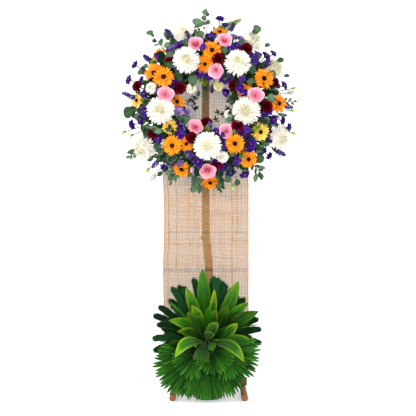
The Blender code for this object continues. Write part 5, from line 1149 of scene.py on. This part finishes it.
# branches of the stand: points along the middle, radii, bark, how knobbly, the floor for those on it
postPath = [(0.0, 0.0711), (0.0, 0.30), (0.003, 0.45), (0.004, 0.54), (0.002, 0.61), (-0.004, 0.67),
            (-0.010, 0.74), (-0.011, 0.90), (-0.010, 1.10), (-0.011, 1.34), (-0.010, 1.575)]
footRadii, rodRadii, pegRadii = (0.0146, 0.0144, 0.0146), (0.0074, 0.0073, 0.0074), (0.0039, 0.0038)
branches = {
    "post": ([(x, 0.0, z) for x, z in postPath], (0.0205, 0.0185, 0.0170), "postBark", 0.05),
    "foot_left": ([(-0.158, -0.212, 0.0135), (-0.1585, 0.04, 0.0135), (-0.158, 0.300, 0.0135)], footRadii,
                  "footBark", 0.035, 0.0),
    "foot_right": ([(0.164, -0.212, 0.0135), (0.1645, 0.04, 0.0135), (0.164, 0.300, 0.0135)], footRadii,
                   "footBark", 0.035, 0.0),
    "cross_log": ([(-0.176, 0.0, 0.0487), (0.0, 0.0, 0.0487), (0.182, 0.0, 0.0487)],
                  (0.0203, 0.0208, 0.0200), "crossBark", 0.035),
    "top_rod": ([(-0.216, -0.0250, 1.500), (0.0, -0.0250, 1.500), (0.199, -0.0250, 1.500)], rodRadii,
                "crossBark", 0.03),
    "bottom_rod": ([(-0.238, -0.0277, 0.195), (0.0, -0.0277, 0.195), (0.219, -0.0277, 0.195)], rodRadii,
                   "darkBark", 0.03),
    "peg_upper": ([(-0.0102, -0.004, 1.532), (-0.0102, -0.079, 1.532)], pegRadii, "footBark", 0.02),
    "peg_lower": ([(-0.0103, -0.004, 1.138), (-0.0103, -0.079, 1.138)], pegRadii, "footBark", 0.02),
}
branchLook = {"around": 28, "step": 0.006, "smoothing": 6, "knot": (-0.008, -0.004, 0.715),
              "knotEnd": (-0.034, -0.006, 0.727), "knotRadii": (0.0125, 0.0100, 0.0085, 0.0030),
              "endRings": (0.02, 0.4, 0.75, 1.0)}


def branchPath(corners):
    spans = [0.0]
    for a, b in zip(corners, corners[1:]):
        spans.append(spans[-1] + (b - a).length)
    count = max(int(spans[-1] / branchLook["step"]), 4)
    path = []
    for k in range(count + 1):
        at = spans[-1] * k / count
        path.append(Vector([float(np.interp(at, spans, [c[i] for c in corners])) for i in range(3)]))
    for turn in range(branchLook["smoothing"]):
        path[1:-1] = [(a + b * 2 + c) / 4 for a, b, c in zip(path, path[1:], path[2:])]
    return path


def buildBranch(node, points, radii, bark, rough, floor=-1.0):
    path = branchPath([Vector(p) for p in points])
    count = len(path) - 1
    places = np.linspace(0, 1, len(radii))
    rows = []
    side = (path[-1] - path[0]).orthogonal().normalized()
    seed = Vector((sum(map(ord, node)) * 0.37, 0.0, 0.0))
    for k, point in enumerate(path):
        along = (path[min(k + 1, count)] - path[max(k - 1, 0)]).normalized()
        side = (side - along * side.dot(along)).normalized()
        other = along.cross(side)
        radius = float(np.interp(k / count, places, radii))
        row = []
        for i in range(branchLook["around"]):
            a = math.tau * i / branchLook["around"]
            way = math.cos(a) * side + math.sin(a) * other
            knobs = noise.noise((point * 9.0 + way * 0.9) + seed) * rough
            ridges = noise.noise(Vector((point.dot(along) * 16.0, a * 3.2, 0.0)) + seed) * 0.35 * rough
            spot = point + way * radius * (1.0 + knobs + ridges)
            spot.z = max(spot.z, floor)
            row.append(spot)
        rows.append(row)
    store = newStore()
    addRows(store, rows, closed=True)
    for row, point in ((rows[0], path[0]), (rows[-1], path[-1])):
        inner = [[point.lerp(p, s) for p in row] for s in branchLook["endRings"]]
        for spot in sum(inner, []):
            spot.z = max(spot.z, floor)
        addRows(store, inner, 1, closed=True)
    if node == "post":
        knot, end = Vector(branchLook["knot"]), Vector(branchLook["knotEnd"])
        addTube(store, [knot, knot.lerp(end, 0.5), knot.lerp(end, 0.9), end], branchLook["knotRadii"], 14, 0)
    buildPiece("branch_" + node, store, [bark, "cutWood"], node)


for node, look in branches.items():
    buildBranch(node, *look)
print("stand done")


# open cloth hung over the rods, with its edge cords and thick threads
sheet = {"left": -0.2065, "right": 0.1885, "low": 0.187, "high": 1.506, "bottomRod": 0.195, "topRod": 1.500,
         "columns": 66, "rows": 220, "cordRadius": 0.0020, "plane": -0.0362, "leanBack": 0.0027,
         "sag": 0.0021, "creases": (0.577, 0.694, 0.782), "creaseDepth": 0.0032, "creaseHalf": 0.006}


def sheetSpot(across, up):
    z = sheet["low"] + up * (sheet["high"] - sheet["low"])
    share = held((z - sheet["bottomRod"]) / (sheet["topRod"] - sheet["bottomRod"]), 0.0, 1.0)
    calm = math.sin(math.pi * share)
    ripple = 0.0011 * math.sin(9.0 * across + 6.0 * up) + 0.0009 * math.sin(41.0 * up)
    creases = sum(sheet["creaseDepth"] * math.exp(-((z - at) / sheet["creaseHalf"]) ** 2)
                  for at in sheet["creases"])
    line = sheet["plane"] + sheet["leanBack"] * share
    edge = 0.003 * math.sin(17.0 * up) * (1.0 - across) * calm
    x = sheet["left"] + across * (sheet["right"] - sheet["left"]) + edge
    return Vector((x, line - calm * (sheet["sag"] + ripple) - creases, z))


# threads: axis, fine threads and coarse threads to two metres; shaded folds: height, half width, depth of the
# painted shade
clothLook = {
    "threads": ((0, 300.0, 131.0), (2, 290.0, 118.0)),
    "shadedFolds": ((0.573, 0.013, 1.0), (0.748, 0.009, 0.60), (0.717, 0.006, 0.45), (0.843, 0.007, 0.40),
              (0.918, 0.007, 0.40)),
    "pale": (0.365, 0.245, 0.120), "warm": (0.35, 0.165, 0.040), "cloud": (0.30, 0.190, 0.085),
    # fold: colour of the painted shade laid along the cloth's folds
    "fold": (0.17, 0.085, 0.040),
}


def clothMaterial(name, look):
    made, tree, shader = newMaterial(name, 0.85)
    place = objectPlace(tree)
    axes = addNode(tree, "ShaderNodeSeparateXYZ", {0: place}).outputs
    wander = addNode(tree, "ShaderNodeTexNoise", {"Vector": place, "Scale": 9.0, "Detail": 3.0}).outputs[0]
    shift = calc(tree, "MULTIPLY", calc(tree, "SUBTRACT", wander, 0.5), 0.016)
    masks, tones = [], []
    for axis, fine, coarse in look["threads"]:
        line = calc(tree, "ADD", axes[axis], shift)
        masks.append(calc(tree, "SINE", calc(tree, "MULTIPLY", line, fine * math.pi)))
        # long uneven threads: noise drawn out along the other axis
        drawn = addNode(tree, "ShaderNodeCombineXYZ",
                        {0: line, 2: calc(tree, "MULTIPLY", axes[2 - axis], 0.020)})
        links = {"Vector": drawn.outputs[0], "Scale": 190.0, "Detail": 4.0, "Roughness": 0.75}
        slubs = addNode(tree, "ShaderNodeTexNoise", links).outputs[0]
        tones.append(spread(tree, slubs, 0.47, 0.80))
        bands = calc(tree, "SINE", calc(tree, "MULTIPLY", calc(tree, "ADD", line, shift), coarse * math.pi))
        tones.append(spread(tree, bands, 0.72, 1.0, 0.0, 0.62))
    thread = calc(tree, "MAXIMUM", *masks)
    hole = spread(tree, thread, -0.55, 0.10)
    tone = calc(tree, "MAXIMUM", calc(tree, "MAXIMUM", *tones[:2]), calc(tree, "MAXIMUM", *tones[2:]))
    cloud = useGroup(tree, mottleGroup, Scale=7.0, Low=0.0, High=0.5)["Value"]
    tone = calc(tree, "MAXIMUM", tone, spread(tree, thread, 0.35, 1.0, 0.0, 0.45))
    color = blendColor(tree, tone, look["pale"], look["warm"])
    color = blendColor(tree, cloud, color, look["cloud"])
    # painted shade: the cloth darkens towards the fold colour along each fold
    foldShade = 0.0
    for height, reach, depth in look["shadedFolds"]:
        away = calc(tree, "ABSOLUTE", calc(tree, "SUBTRACT", axes[2], height))
        foldShade = calc(tree, "ADD", foldShade, spread(tree, away, 0.0, reach, depth, 0.0))
    color = blendColor(tree, foldShade, color, look["fold"])
    cover = calc(tree, "ADD", calc(tree, "MULTIPLY", hole, 0.62), calc(tree, "MULTIPLY", tone, 0.45),
                 clamp=True)
    tree.links.new(spread(tree, cover, 0.0, 1.0, 0.38, 0.95), shader["Alpha"])
    setSurface(tree, shader, color, thread, 0.35, 0.0006)
    return made


def cordMaterial(name, dark, light):
    made, tree, shader = newMaterial(name, 0.9)
    links = {"Vector": objectPlace(tree), "Scale": 160.0, "Distortion": 4.0, "Detail": 2.0}
    strands = addNode(tree, "ShaderNodeTexWave", links, bands_direction="DIAGONAL").outputs[1]
    setSurface(tree, shader, blendColor(tree, strands, dark, light), strands, 0.5, 0.0008)
    return made


materials["openCloth"] = clothMaterial("openCloth", clothLook)
materials["juteCord"] = cordMaterial("juteCord", (0.40, 0.15, 0.03), (0.66, 0.30, 0.08))
materials["darkThread"] = cordMaterial("darkThread", (0.04, 0.03, 0.025), (0.18, 0.13, 0.10))

# threads that run across: first and last share of the width, height, radius
crossThreads = [(0.0, 0.60, 0.872, 0.0009), (0.10, 0.55, 0.773, 0.0010), (0.05, 0.45, 0.694, 0.0008),
                (0.80, 1.0, 0.709, 0.0011), (0.0, 1.0, 0.698, 0.0006), (0.42, 0.98, 0.830, 0.0007),
                (0.0, 0.40, 0.892, 0.0007), (0.0, 1.0, 0.60, 0.0006), (0.3, 1.0, 0.96, 0.0006)]
threadLook = {"radius": 0.0005, "across": 46, "upright": 34, "front": 0.0006, "dark": 0.0006,
              "darkFront": 0.0008}


def addThread(cords, rng, path, radius, thin, thick, around=5):
    addTube(cords, path, [radius * rng.uniform(thin, thick) for p in path], around, 0, rng.random())


def buildSheet():
    rng = random.Random(77)
    store = newStore()
    columns, rows = sheet["columns"], sheet["rows"]
    addRows(store, [[sheetSpot(c / columns, r / rows) for c in range(columns + 1)] for r in range(rows + 1)])
    cloth = buildPiece("openClothSheet", store, ["openCloth"], "cloth_sheet")
    cords = newStore()
    for across in (0.004, 0.996):
        path = []
        for k in range(rows + 1):
            spot = sheetSpot(across, k / rows)
            path.append(spot + Vector((rng.uniform(-0.0006, 0.0006), rng.uniform(-0.0004, 0.0004), 0.0)))
        addThread(cords, rng, path, sheet["cordRadius"], 0.8, 1.25, 7)
    fine, front = threadLook["radius"], threadLook["front"]
    loose = [(rng.uniform(0, 0.5), rng.uniform(0.55, 1.0), rng.uniform(0.20, 1.49), fine)
             for k in range(threadLook["across"])]
    for first, last, z, radius in crossThreads + loose:
        up = (z - sheet["low"]) / (sheet["high"] - sheet["low"])
        slope = rng.uniform(-0.008, 0.008)
        path = [sheetSpot(first + (last - first) * k / 24, up + slope * k / 24)
                + Vector((0, -front, 0.0008 * math.sin(k * 0.7 + z * 40))) for k in range(25)]
        addThread(cords, rng, path, radius, 0.6, 1.3)
    for k in range(threadLook["upright"]):
        across = rng.uniform(0.02, 0.98)
        low = rng.uniform(0.0, 0.5)
        high = rng.uniform(low + 0.2, 1.0)
        path = [sheetSpot(across + 0.003 * math.sin(0.5 * i + k), low + (high - low) * i / 40)
                + Vector((0, -front, 0)) for i in range(41)]
        addThread(cords, rng, path, fine, 0.5, 1.4)
    for across, low, high in ((0.152, 0.30, 0.80), (0.868, 0.42, 0.80)):
        path = [sheetSpot(across + 0.004 * math.sin(0.3 * i), low + (high - low) * i / 60)
                + Vector((0, -threadLook["darkFront"], 0)) for i in range(61)]
        addTube(cords, path, [threadLook["dark"] * rng.uniform(0.5, 1.6) for p in path], 5)
    trim = buildPiece("clothCords", cords, ["juteCord", "darkThread"], None)


buildSheet()
print("cloth done")


# leaves in the pot, in the depth bands that their solids have
potLeaves = {"y": -0.130, "foamTop": 0.222, "coneSlope": 0.30, "step": 0.0050, "neckZ": 0.258,
             "fanNeckZ": 0.236, "measuredAt": 3.978, "back": -0.052, "front": -0.300, "floor": 0.003}
roots = {
    "paddles_left_back": (-0.024, -0.092), "paddles_right_back": (0.022, -0.092),
    "paddles_left_front": (-0.040, -0.116), "paddles_right_front": (0.036, -0.116),
    "leaves_top": (-0.003, -0.120), "leaves_left": (-0.026, -0.141), "leaves_right": (0.020, -0.141),
    "leaves_front": (-0.004, -0.160), "fan_upper_left": (-0.047, -0.147), "fan_left": (-0.041, -0.166),
    "fan_middle_left": (-0.022, -0.178), "fan_bottom": (-0.003, -0.185), "fan_front": (0.016, -0.180),
    "fan_middle_right": (0.034, -0.170), "fan_right": (0.048, -0.152),
}
# start and tip in centimetres, width, sideways bow and forward bow in centimetres
broadLeaves = {
    "leaves_top": (-0.1, [
        (-1.5, 27, -2.6, 59.4, 5.2, 0.8, 1, 0.15), (-2.6, 27.5, -9.8, 51.4, 4.4, 1.4, 1.2, 0.45),
        (1.2, 27, 13.6, 54.8, 5, -1.6, 1.2, 0.3), (2.6, 26.5, 17.8, 45.6, 4.4, 1.6, 1.2, 0.2),
        (0.2, 27.5, 2.9, 50.4, 2.8, -0.8, 1.4, 1)]),
    "leaves_left": (-0.134, [
        (-2.6, 26, -17.6, 38, 4, 4.6, 1.2, 0.6), (-1.8, 27, -7.2, 43.8, 3.8, 2.4, 1.2, 0.9),
        (-2, 25.5, -8, 40.6, 6.8, 2.2, 1.6, 0.4), (-2.8, 25, -13.8, 33, 3.8, 3.8, 1.4, 0.9)]),
    "leaves_right": (-0.134, [
        (1.8, 26, 22.6, 42, 4.8, 1.8, 1.2, 0.2), (1, 27, 8.6, 44, 4.2, -1.4, 1.2, 0.45),
        (0.6, 26.5, 3.6, 41.8, 4, 1.2, 1.4, 0.8), (2.4, 25.5, 13.2, 36.4, 3.8, -1.6, 1.2, 1),
        (2.8, 24.6, 22, 26.6, 3.8, 4.6, 1.2, 0.5)]),
    "leaves_front": (-0.262, [
        (0, 27.4, 4.2, 36.4, 4, 1, 1, 0.7), (-0.8, 27.2, 2.6, 31.8, 3.6, 1.4, 1, 1),
        (-2.4, 26.4, -14.8, 21.8, 4.4, 5, 1, 1), (2.2, 26.4, 16.2, 19.6, 4.2, 4.6, 1, 0.9),
        (0.6, 26.6, 2.2, 23.6, 3.4, 0.6, 1, 0.2), (-1.2, 26.2, -3.8, 16.2, 7.4, 0.2, 1.2, -1)]),
}
paddles = {
    "paddles_left_back": (-0.07, [(-6.4, 55.4), (-13.2, 52.2), (-17.4, 46), (-24.6, 39), (-25.3, 28.4)]),
    "paddles_left_front": (-0.085, [(-11, 51.8), (-16.2, 51.4), (-22.2, 43), (-23.2, 35), (-25, 22.8)]),
    "paddles_right_back": (-0.07, [
        (2.6, 56.2), (6.8, 54), (11.4, 51.4), (16.6, 46.6), (22.8, 37.4), (24.4, 26.4)]),
    "paddles_right_front": (-0.085, [(4.6, 55.6), (8, 52.8), (13.6, 47.6), (21.2, 40), (24.2, 32.8)]),
}
# depth, hub in centimetres, radius in metres, first and last finger's angle, fingers
fans = {
    "fan_right": [(-0.214, (6.8, 22.6), 0.182, -100, 26, 15), (-0.207, (4.4, 24), 0.16, -60, 14, 9)],
    "fan_left": [(-0.214, (-7.4, 18.2), 0.184, -202, -92, 14)],
    "fan_bottom": [
        (-0.216, (0, 17.2), 0.17, -122, -58, 9), (-0.212, (0.4, 20.6), 0.212, -120, -60, 10),
        (-0.224, (-0.4, 19.6), 0.204, -132, -56, 12), (-0.219, (4.4, 19.8), 0.2, -92, -48, 7),
        (-0.219, (-4.8, 19.4), 0.196, -130, -88, 7)],
    "fan_upper_left": [
        (-0.226, (-9.6, 21.6), 0.132, -206, -150, 6), (-0.207, (-4.4, 23.4), 0.156, -198, -128, 9)],
    "fan_middle_left": [(-0.238, (-5.2, 21.4), 0.126, -188, -74, 12)],
    "fan_middle_right": [(-0.238, (5.2, 22.8), 0.152, -92, -14, 9)],
    "fan_front": [(-0.25, (2.2, 22.4), 0.112, -150, 12, 13)],
}


# the leaves' places were measured in one plane; this keeps them in place as seen from the front
def inView(x, y, z):
    eyeZ = cameraLook["place"][2]
    share = (y - cameraLook["place"][1]) / potLeaves["measuredAt"]
    return Vector((x * share, y, max(eyeZ + (z - eyeZ) * share, potLeaves["floor"])))


def leafDepth(x, z, depth):
    reach = math.hypot(x, z - potLeaves["foamTop"])
    return depth - potLeaves["coneSlope"] * reach * reach / (reach + 0.10)


bladeLooks = {
    "pointed": {"rows": 18, "columns": 8, "fold": -0.34, "pleats": 0.0, "wave": 0.008, "droop": 0.022,
                "fuller": 1.22},
    "broad": {"rows": 18, "columns": 8, "fold": -0.26, "pleats": 0.0, "wave": 0.006, "droop": 0.010,
              "fuller": 1.05},
    "torn": {"rows": 16, "columns": 18, "fold": -0.20, "pleats": 0.0026, "wave": 0.004, "droop": 0.0,
             "fuller": 1.0, "jag": 0.026},
    "blunt": {"rows": 14, "columns": 16, "fold": -0.10, "pleats": 0.0018, "wave": 0.003, "droop": 0.0,
              "fuller": 1.0, "jag": 0.012},
}


def addBlade(store, neck, start, tip, width, bow, forward, depth, kind, rng, tint=0.0):
    look = bladeLooks[kind]
    a, b = Vector(start), Vector(tip)
    way = (b - a).normalized()
    across = Vector((-way.y, way.x))
    shade = rng.random()
    rows = []
    for r in range(look["rows"] + 1):
        s = r / look["rows"]
        lean = 4.0 * s * (1.0 - s)
        middle = a.lerp(b, s) + across * bow * lean
        half = halfWidth(kind, s, width * look["fuller"])
        row = []
        for c in range(look["columns"] + 1):
            u = 2.0 * c / look["columns"] - 1.0
            spot = middle + across * half * u
            if look["pleats"] and s > 0.80:
                jag = look["jag"] * abs(math.sin(2.3 * c + 7.0 * shade)) + 0.014 * u * u
                spot = spot - way * jag * (s - 0.80) / 0.20
            spot.y -= look["droop"] * abs(way.x) * s ** 4
            y = leafDepth(middle.x, middle.y, depth) - forward * lean - 0.7 * look["droop"] * s ** 3
            fold = look["fold"] * half * abs(u)
            pleat = look["pleats"] * math.cos(math.pi * c) * min(1.0, s * 3.0)
            wave = look["wave"] * math.sin(9.0 * s + 6.0 * shade) * u * s
            row.append(inView(spot.x, y - fold + pleat + wave, max(spot.y, potLeaves["floor"])))
        rows.append(row)
    addRows(store, rows, 0, shade, tint)
    hold = neck - Vector((0, 0, 0.008))
    foot, second = [row[look["columns"] // 2] for row in rows[:2]]
    middle = (hold + foot) * 0.5 + Vector((0, 0, 0.006))
    addTube(store, [hold, middle, foot, second], [0.0026, 0.0024, 0.0022, 0.0014], 7)


def addNeck(store, node, neckZ):
    x, y = roots[node]
    foot = Vector((x, y, potLeaves["foamTop"] - 0.010))
    neck = Vector((x, y, neckZ))
    addTube(store, [foot, foot.lerp(neck, 0.5), neck, neck + Vector((0, 0, 0.004))],
            [0.0044, 0.0052, 0.0078, 0.0030], 10)
    return neck


# short arching leaves: turn and rise in degrees, length, width, bend
innerLeaves = [
    (-80, 58, 0.25, 0.036, 1.1), (78, 60, 0.26, 0.036, 1.1), (-52, 50, 0.22, 0.034, 1.3),
    (55, 48, 0.22, 0.036, 1.3), (-28, 66, 0.27, 0.038, 0.9), (24, 62, 0.25, 0.04, 1),
    (0, 72, 0.28, 0.04, 0.7), (-66, 34, 0.19, 0.034, 1.3), (0, 20, 0.115, 0.042, 1.7),
    (24, 18, 0.12, 0.04, 1.7), (-24, 18, 0.12, 0.04, 1.7), (48, 16, 0.13, 0.04, 1.6),
    (-48, 16, 0.13, 0.04, 1.6), (74, 14, 0.15, 0.04, 1.4), (-74, 14, 0.15, 0.04, 1.4),
    (68, 32, 0.19, 0.034, 1.3), (-96, 42, 0.22, 0.034, 1.2), (98, 44, 0.22, 0.034, 1.2),
    (-12, 46, 0.11, 0.036, 1.4), (36, 38, 0.16, 0.036, 1.4), (-40, 34, 0.16, 0.036, 1.4),
    (112, 66, 0.24, 0.032, 0.6), (-114, 68, 0.24, 0.032, 0.6), (14, 54, 0.21, 0.034, 1.2),
    (-100, 24, 0.2, 0.03, 0.8), (100, 22, 0.2, 0.03, 0.8), (60, 70, 0.3, 0.034, 0.7),
    (-62, 72, 0.3, 0.034, 0.7)]


archLook = {"rows": 16, "columns": 6, "out": 0.022, "fold": 0.30, "ripple": 0.003, "floor": 0.004}


def addArch(store, row, rng):
    turn, rise, length, width, bend = row
    heading = Vector((math.sin(math.radians(turn)), -math.cos(math.radians(turn)), 0.0))
    across = heading.cross(Vector((0, 0, 1)))
    spot = Vector((0.0, potLeaves["y"], potLeaves["foamTop"] - 0.01)) + heading * archLook["out"]
    count, angle = archLook["rows"], math.radians(rise)
    outline = "oval" if rng.random() > 0.5 else "longOval"
    rows = []
    for r in range(count + 1):
        s = r / count
        way = heading * math.cos(angle) + Vector((0, 0, math.sin(angle)))
        up = across.cross(way).normalized() * -1.0
        half = halfWidth(outline, s, width)
        line = []
        for c in range(archLook["columns"] + 1):
            u = c / (archLook["columns"] / 2) - 1.0
            lift = archLook["fold"] * half * abs(u) + archLook["ripple"] * math.sin(9 * s + c) * u * s
            point = spot + across * half * u + up * lift
            line.append(Vector((point.x, held(point.y, potLeaves["front"], potLeaves["back"]),
                                max(point.z, archLook["floor"]))))
        rows.append(line)
        spot = spot + way * (length / count)
        angle -= bend / count
    addRows(store, rows, 0, rng.random(), 0.25 * rng.random())
    addTube(store, [line[3] for line in rows[:5]], [0.0030, 0.0026, 0.0022, 0.0018, 0.0010], 6)


def buildBroadLeaves(rng):
    for node, (depth, rows) in broadLeaves.items():
        store = newStore()
        neck = addNeck(store, node, potLeaves["neckZ"])
        for k, (x0, z0, x1, z1, width, bow, forward, tint) in enumerate(rows):
            side = 1.0 if x1 >= x0 else -1.0
            kind = "torn" if tint < 0 else "broad" if width > 6 else "pointed"
            addBlade(store, neck, (x0 * cm, z0 * cm), (x1 * cm, z1 * cm), width * cm, 0.5 * bow * cm * side,
                     0.5 * forward * cm, depth - potLeaves["step"] * k, kind, rng, 0.25 if tint < 0 else tint)
        if node == "leaves_top":
            for inner in innerLeaves:
                addArch(store, inner, rng)
        buildPiece("broad_" + node, store, ["brightLeaf", "stemGreen"], node)


# each tip has a long leaf and a shorter one beside it: step back, reach, turn sideways
paddleLook = {"pair": ((0, 1.02, 0.0), (1, 0.80, 0.15)), "width": 0.032, "bow": 0.010, "start": 0.12}


def buildPaddles(rng):
    for node, (depth, tips) in paddles.items():
        store = newStore()
        neck = addNeck(store, node, potLeaves["neckZ"] - 0.006)
        for k, (x, z) in enumerate(tips):
            side = 1.0 if x > 0 else -1.0
            for behind, reach, shift in paddleLook["pair"]:
                tip = Vector((x * cm - neck.x, z * cm - neck.z)) * reach
                turn = shift * side
                tip = Vector((neck.x + tip.x * math.cos(turn) + tip.y * math.sin(turn),
                              neck.z - tip.x * math.sin(turn) + tip.y * math.cos(turn)))
                start = (neck.x + paddleLook["start"] * (tip.x - neck.x),
                         neck.z + paddleLook["start"] * (tip.y - neck.z))
                band = depth - potLeaves["step"] * (k % 2) + 0.004 * behind
                addBlade(store, neck, start, (tip.x, tip.y), paddleLook["width"], paddleLook["bow"] * side,
                         0.0, band, "blunt", rng)
        buildPiece("blunt_" + node, store, ["paddleLeaf", "stemGreen"], node)


fanLook = {"split": 0.75, "perFinger": 1.45, "pleat": 0.0050, "rows": 14, "columns": 4}


def addFan(store, fan, neck, rng):
    depth, (x, z), radius, low, high, fingers = fan
    x, z = x * cm, z * cm
    count = round(fingers * fanLook["perFinger"])
    low, high = math.radians(low), math.radians(high)
    step = (high - low) / count
    split = fanLook["split"]
    heart = inView(x, leafDepth(x, z, depth), z)
    for k in range(count):
        angle = low + (k + 0.5) * step
        edge = abs(2 * (k + 0.5) / count - 1)
        length = radius * rng.uniform(0.92, 1.0) * (1.0 - 0.12 * edge ** 3)
        out = Vector((math.cos(angle), math.sin(angle)))
        side = Vector((-out.y, out.x))
        lean = rng.uniform(-0.35, 0.35) * step
        droop = rng.uniform(-0.004, 0.006)
        rows = []
        for r in range(fanLook["rows"] + 1):
            s = r / fanLook["rows"]
            reach = length * (0.03 + 0.97 * s)
            free = max((s - split) / (1.0 - split), 0.0)
            joined = min(reach, split * length)
            half = joined * math.tan(0.5 * step) * (1.0 + 0.35 * free) * (1.0 - free ** 2.6) + 0.0002
            row = []
            for c in range(fanLook["columns"] + 1):
                u = 2.0 * c / fanLook["columns"] - 1.0
                spot = Vector((x, z)) + out * reach + side * (half * u + lean * free * radius)
                pz = max(spot.y, 0.004)
                pleat = fanLook["pleat"] * min(1.0, s * 2.5) * (1.0 - abs(u)) * (1.0 - 0.5 * free)
                row.append(inView(spot.x, leafDepth(spot.x, pz, depth) - pleat + droop * free, pz))
            rows.append(row)
        addRows(store, rows, 0, rng.random(), rng.random() * (0.9 if rng.random() > 0.6 else 0.3))
    bend = Vector((0.45 * neck.x + 0.55 * heart.x, 0.35 * neck.y + 0.65 * heart.y, neck.z - 0.002))
    path = curveBetween(neck - Vector((0, 0, 0.004)), bend, bend, heart, 6)
    addTube(store, path, [0.0034 - 0.0010 * k / 6 for k in range(7)], 8)


def buildFans():
    for node, rows in fans.items():
        rng = random.Random(node)
        store = newStore()
        neck = addNeck(store, node, potLeaves["fanNeckZ"])
        for fan in rows:
            addFan(store, fan, neck, rng)
        buildPiece("pleated_" + node, store, ["fanLeaf", "stemGreen"], node)


leafDraws = random.Random(5)
buildBroadLeaves(leafDraws)
buildPaddles(leafDraws)
buildFans()
print("leaves in the pot done")


# floor that sweeps up into a wall, and soft studio light
stageLook = {"flat": (0.0001, 2.0, 4.0, 6.0), "bend": 2.0, "wallTop": 9.0, "around": 72,
             "dark": (0.90, 0.90, 0.91), "light": (0.91, 0.91, 0.92), "glow": 0.40}


def buildStage():
    profile = [(radius, 0.0) for radius in stageLook["flat"]]
    edge, bend = stageLook["flat"][-1], stageLook["bend"]
    for k in range(1, 13):
        a = 0.5 * math.pi * k / 12
        profile.append((edge + bend * math.sin(a), bend * (1.0 - math.cos(a))))
    profile.append((edge + bend, stageLook["wallTop"]))
    wall = turnProfile(profile, stageLook["around"], Vector((0, 0, 0)))
    mesh = bpy.data.meshes.new("roundWall")
    mesh.from_pydata(wall["points"], [], wall["faces"])
    mesh.polygons.foreach_set("use_smooth", np.ones(len(mesh.polygons), dtype=bool))
    made, tree, shader = newMaterial("paleFloor", 0.75)
    soft = useGroup(tree, mottleGroup, Scale=2.0, Low=0.0, High=1.0)["Value"]
    color = blendColor(tree, soft, stageLook["dark"], stageLook["light"])
    setSurface(tree, shader, color)
    setGlow(tree, shader, color, stageLook["glow"])
    mesh.materials.append(made)
    ground = bpy.data.objects.new("roundWall", mesh)
    bpy.context.scene.collection.objects.link(ground)


# place, aim, size, power
lights = {
    "frontLight": ((0.4, -5.4, 2.2), (0.0, 0.0, 0.9), 2.6, 26.0),
    "keyLight": ((-2.4, -3.4, 3.4), (0.0, 0.0, 1.0), 1.3, 120.0),
    "fillLight": ((2.8, -3.0, 2.0), (0.0, 0.0, 0.9), 3.0, 12.0),
    "topLight": ((0.0, 0.4, 4.4), (0.0, 0.2, 0.0), 2.4, 60.0),
}
skyLook = {"color": (1.0, 1.0, 1.0, 1.0), "strength": 0.30}


def buildLights():
    for name, (place, aim, size, power) in lights.items():
        data = bpy.data.lights.new(name, "AREA")
        data.shape = "SQUARE"
        data.size = size
        data.energy = power
        lamp = bpy.data.objects.new(name, data)
        lamp.location = place
        lamp.rotation_euler = (Vector(aim) - Vector(place)).to_track_quat("-Z", "Y").to_euler()
        bpy.context.scene.collection.objects.link(lamp)
    world = bpy.data.worlds.new("studio")
    bpy.context.scene.world = world
    world.use_nodes = True
    sky = world.node_tree.nodes["Background"].inputs
    sky[0].default_value = skyLook["color"]
    sky[1].default_value = skyLook["strength"]


buildStage()
buildLights()
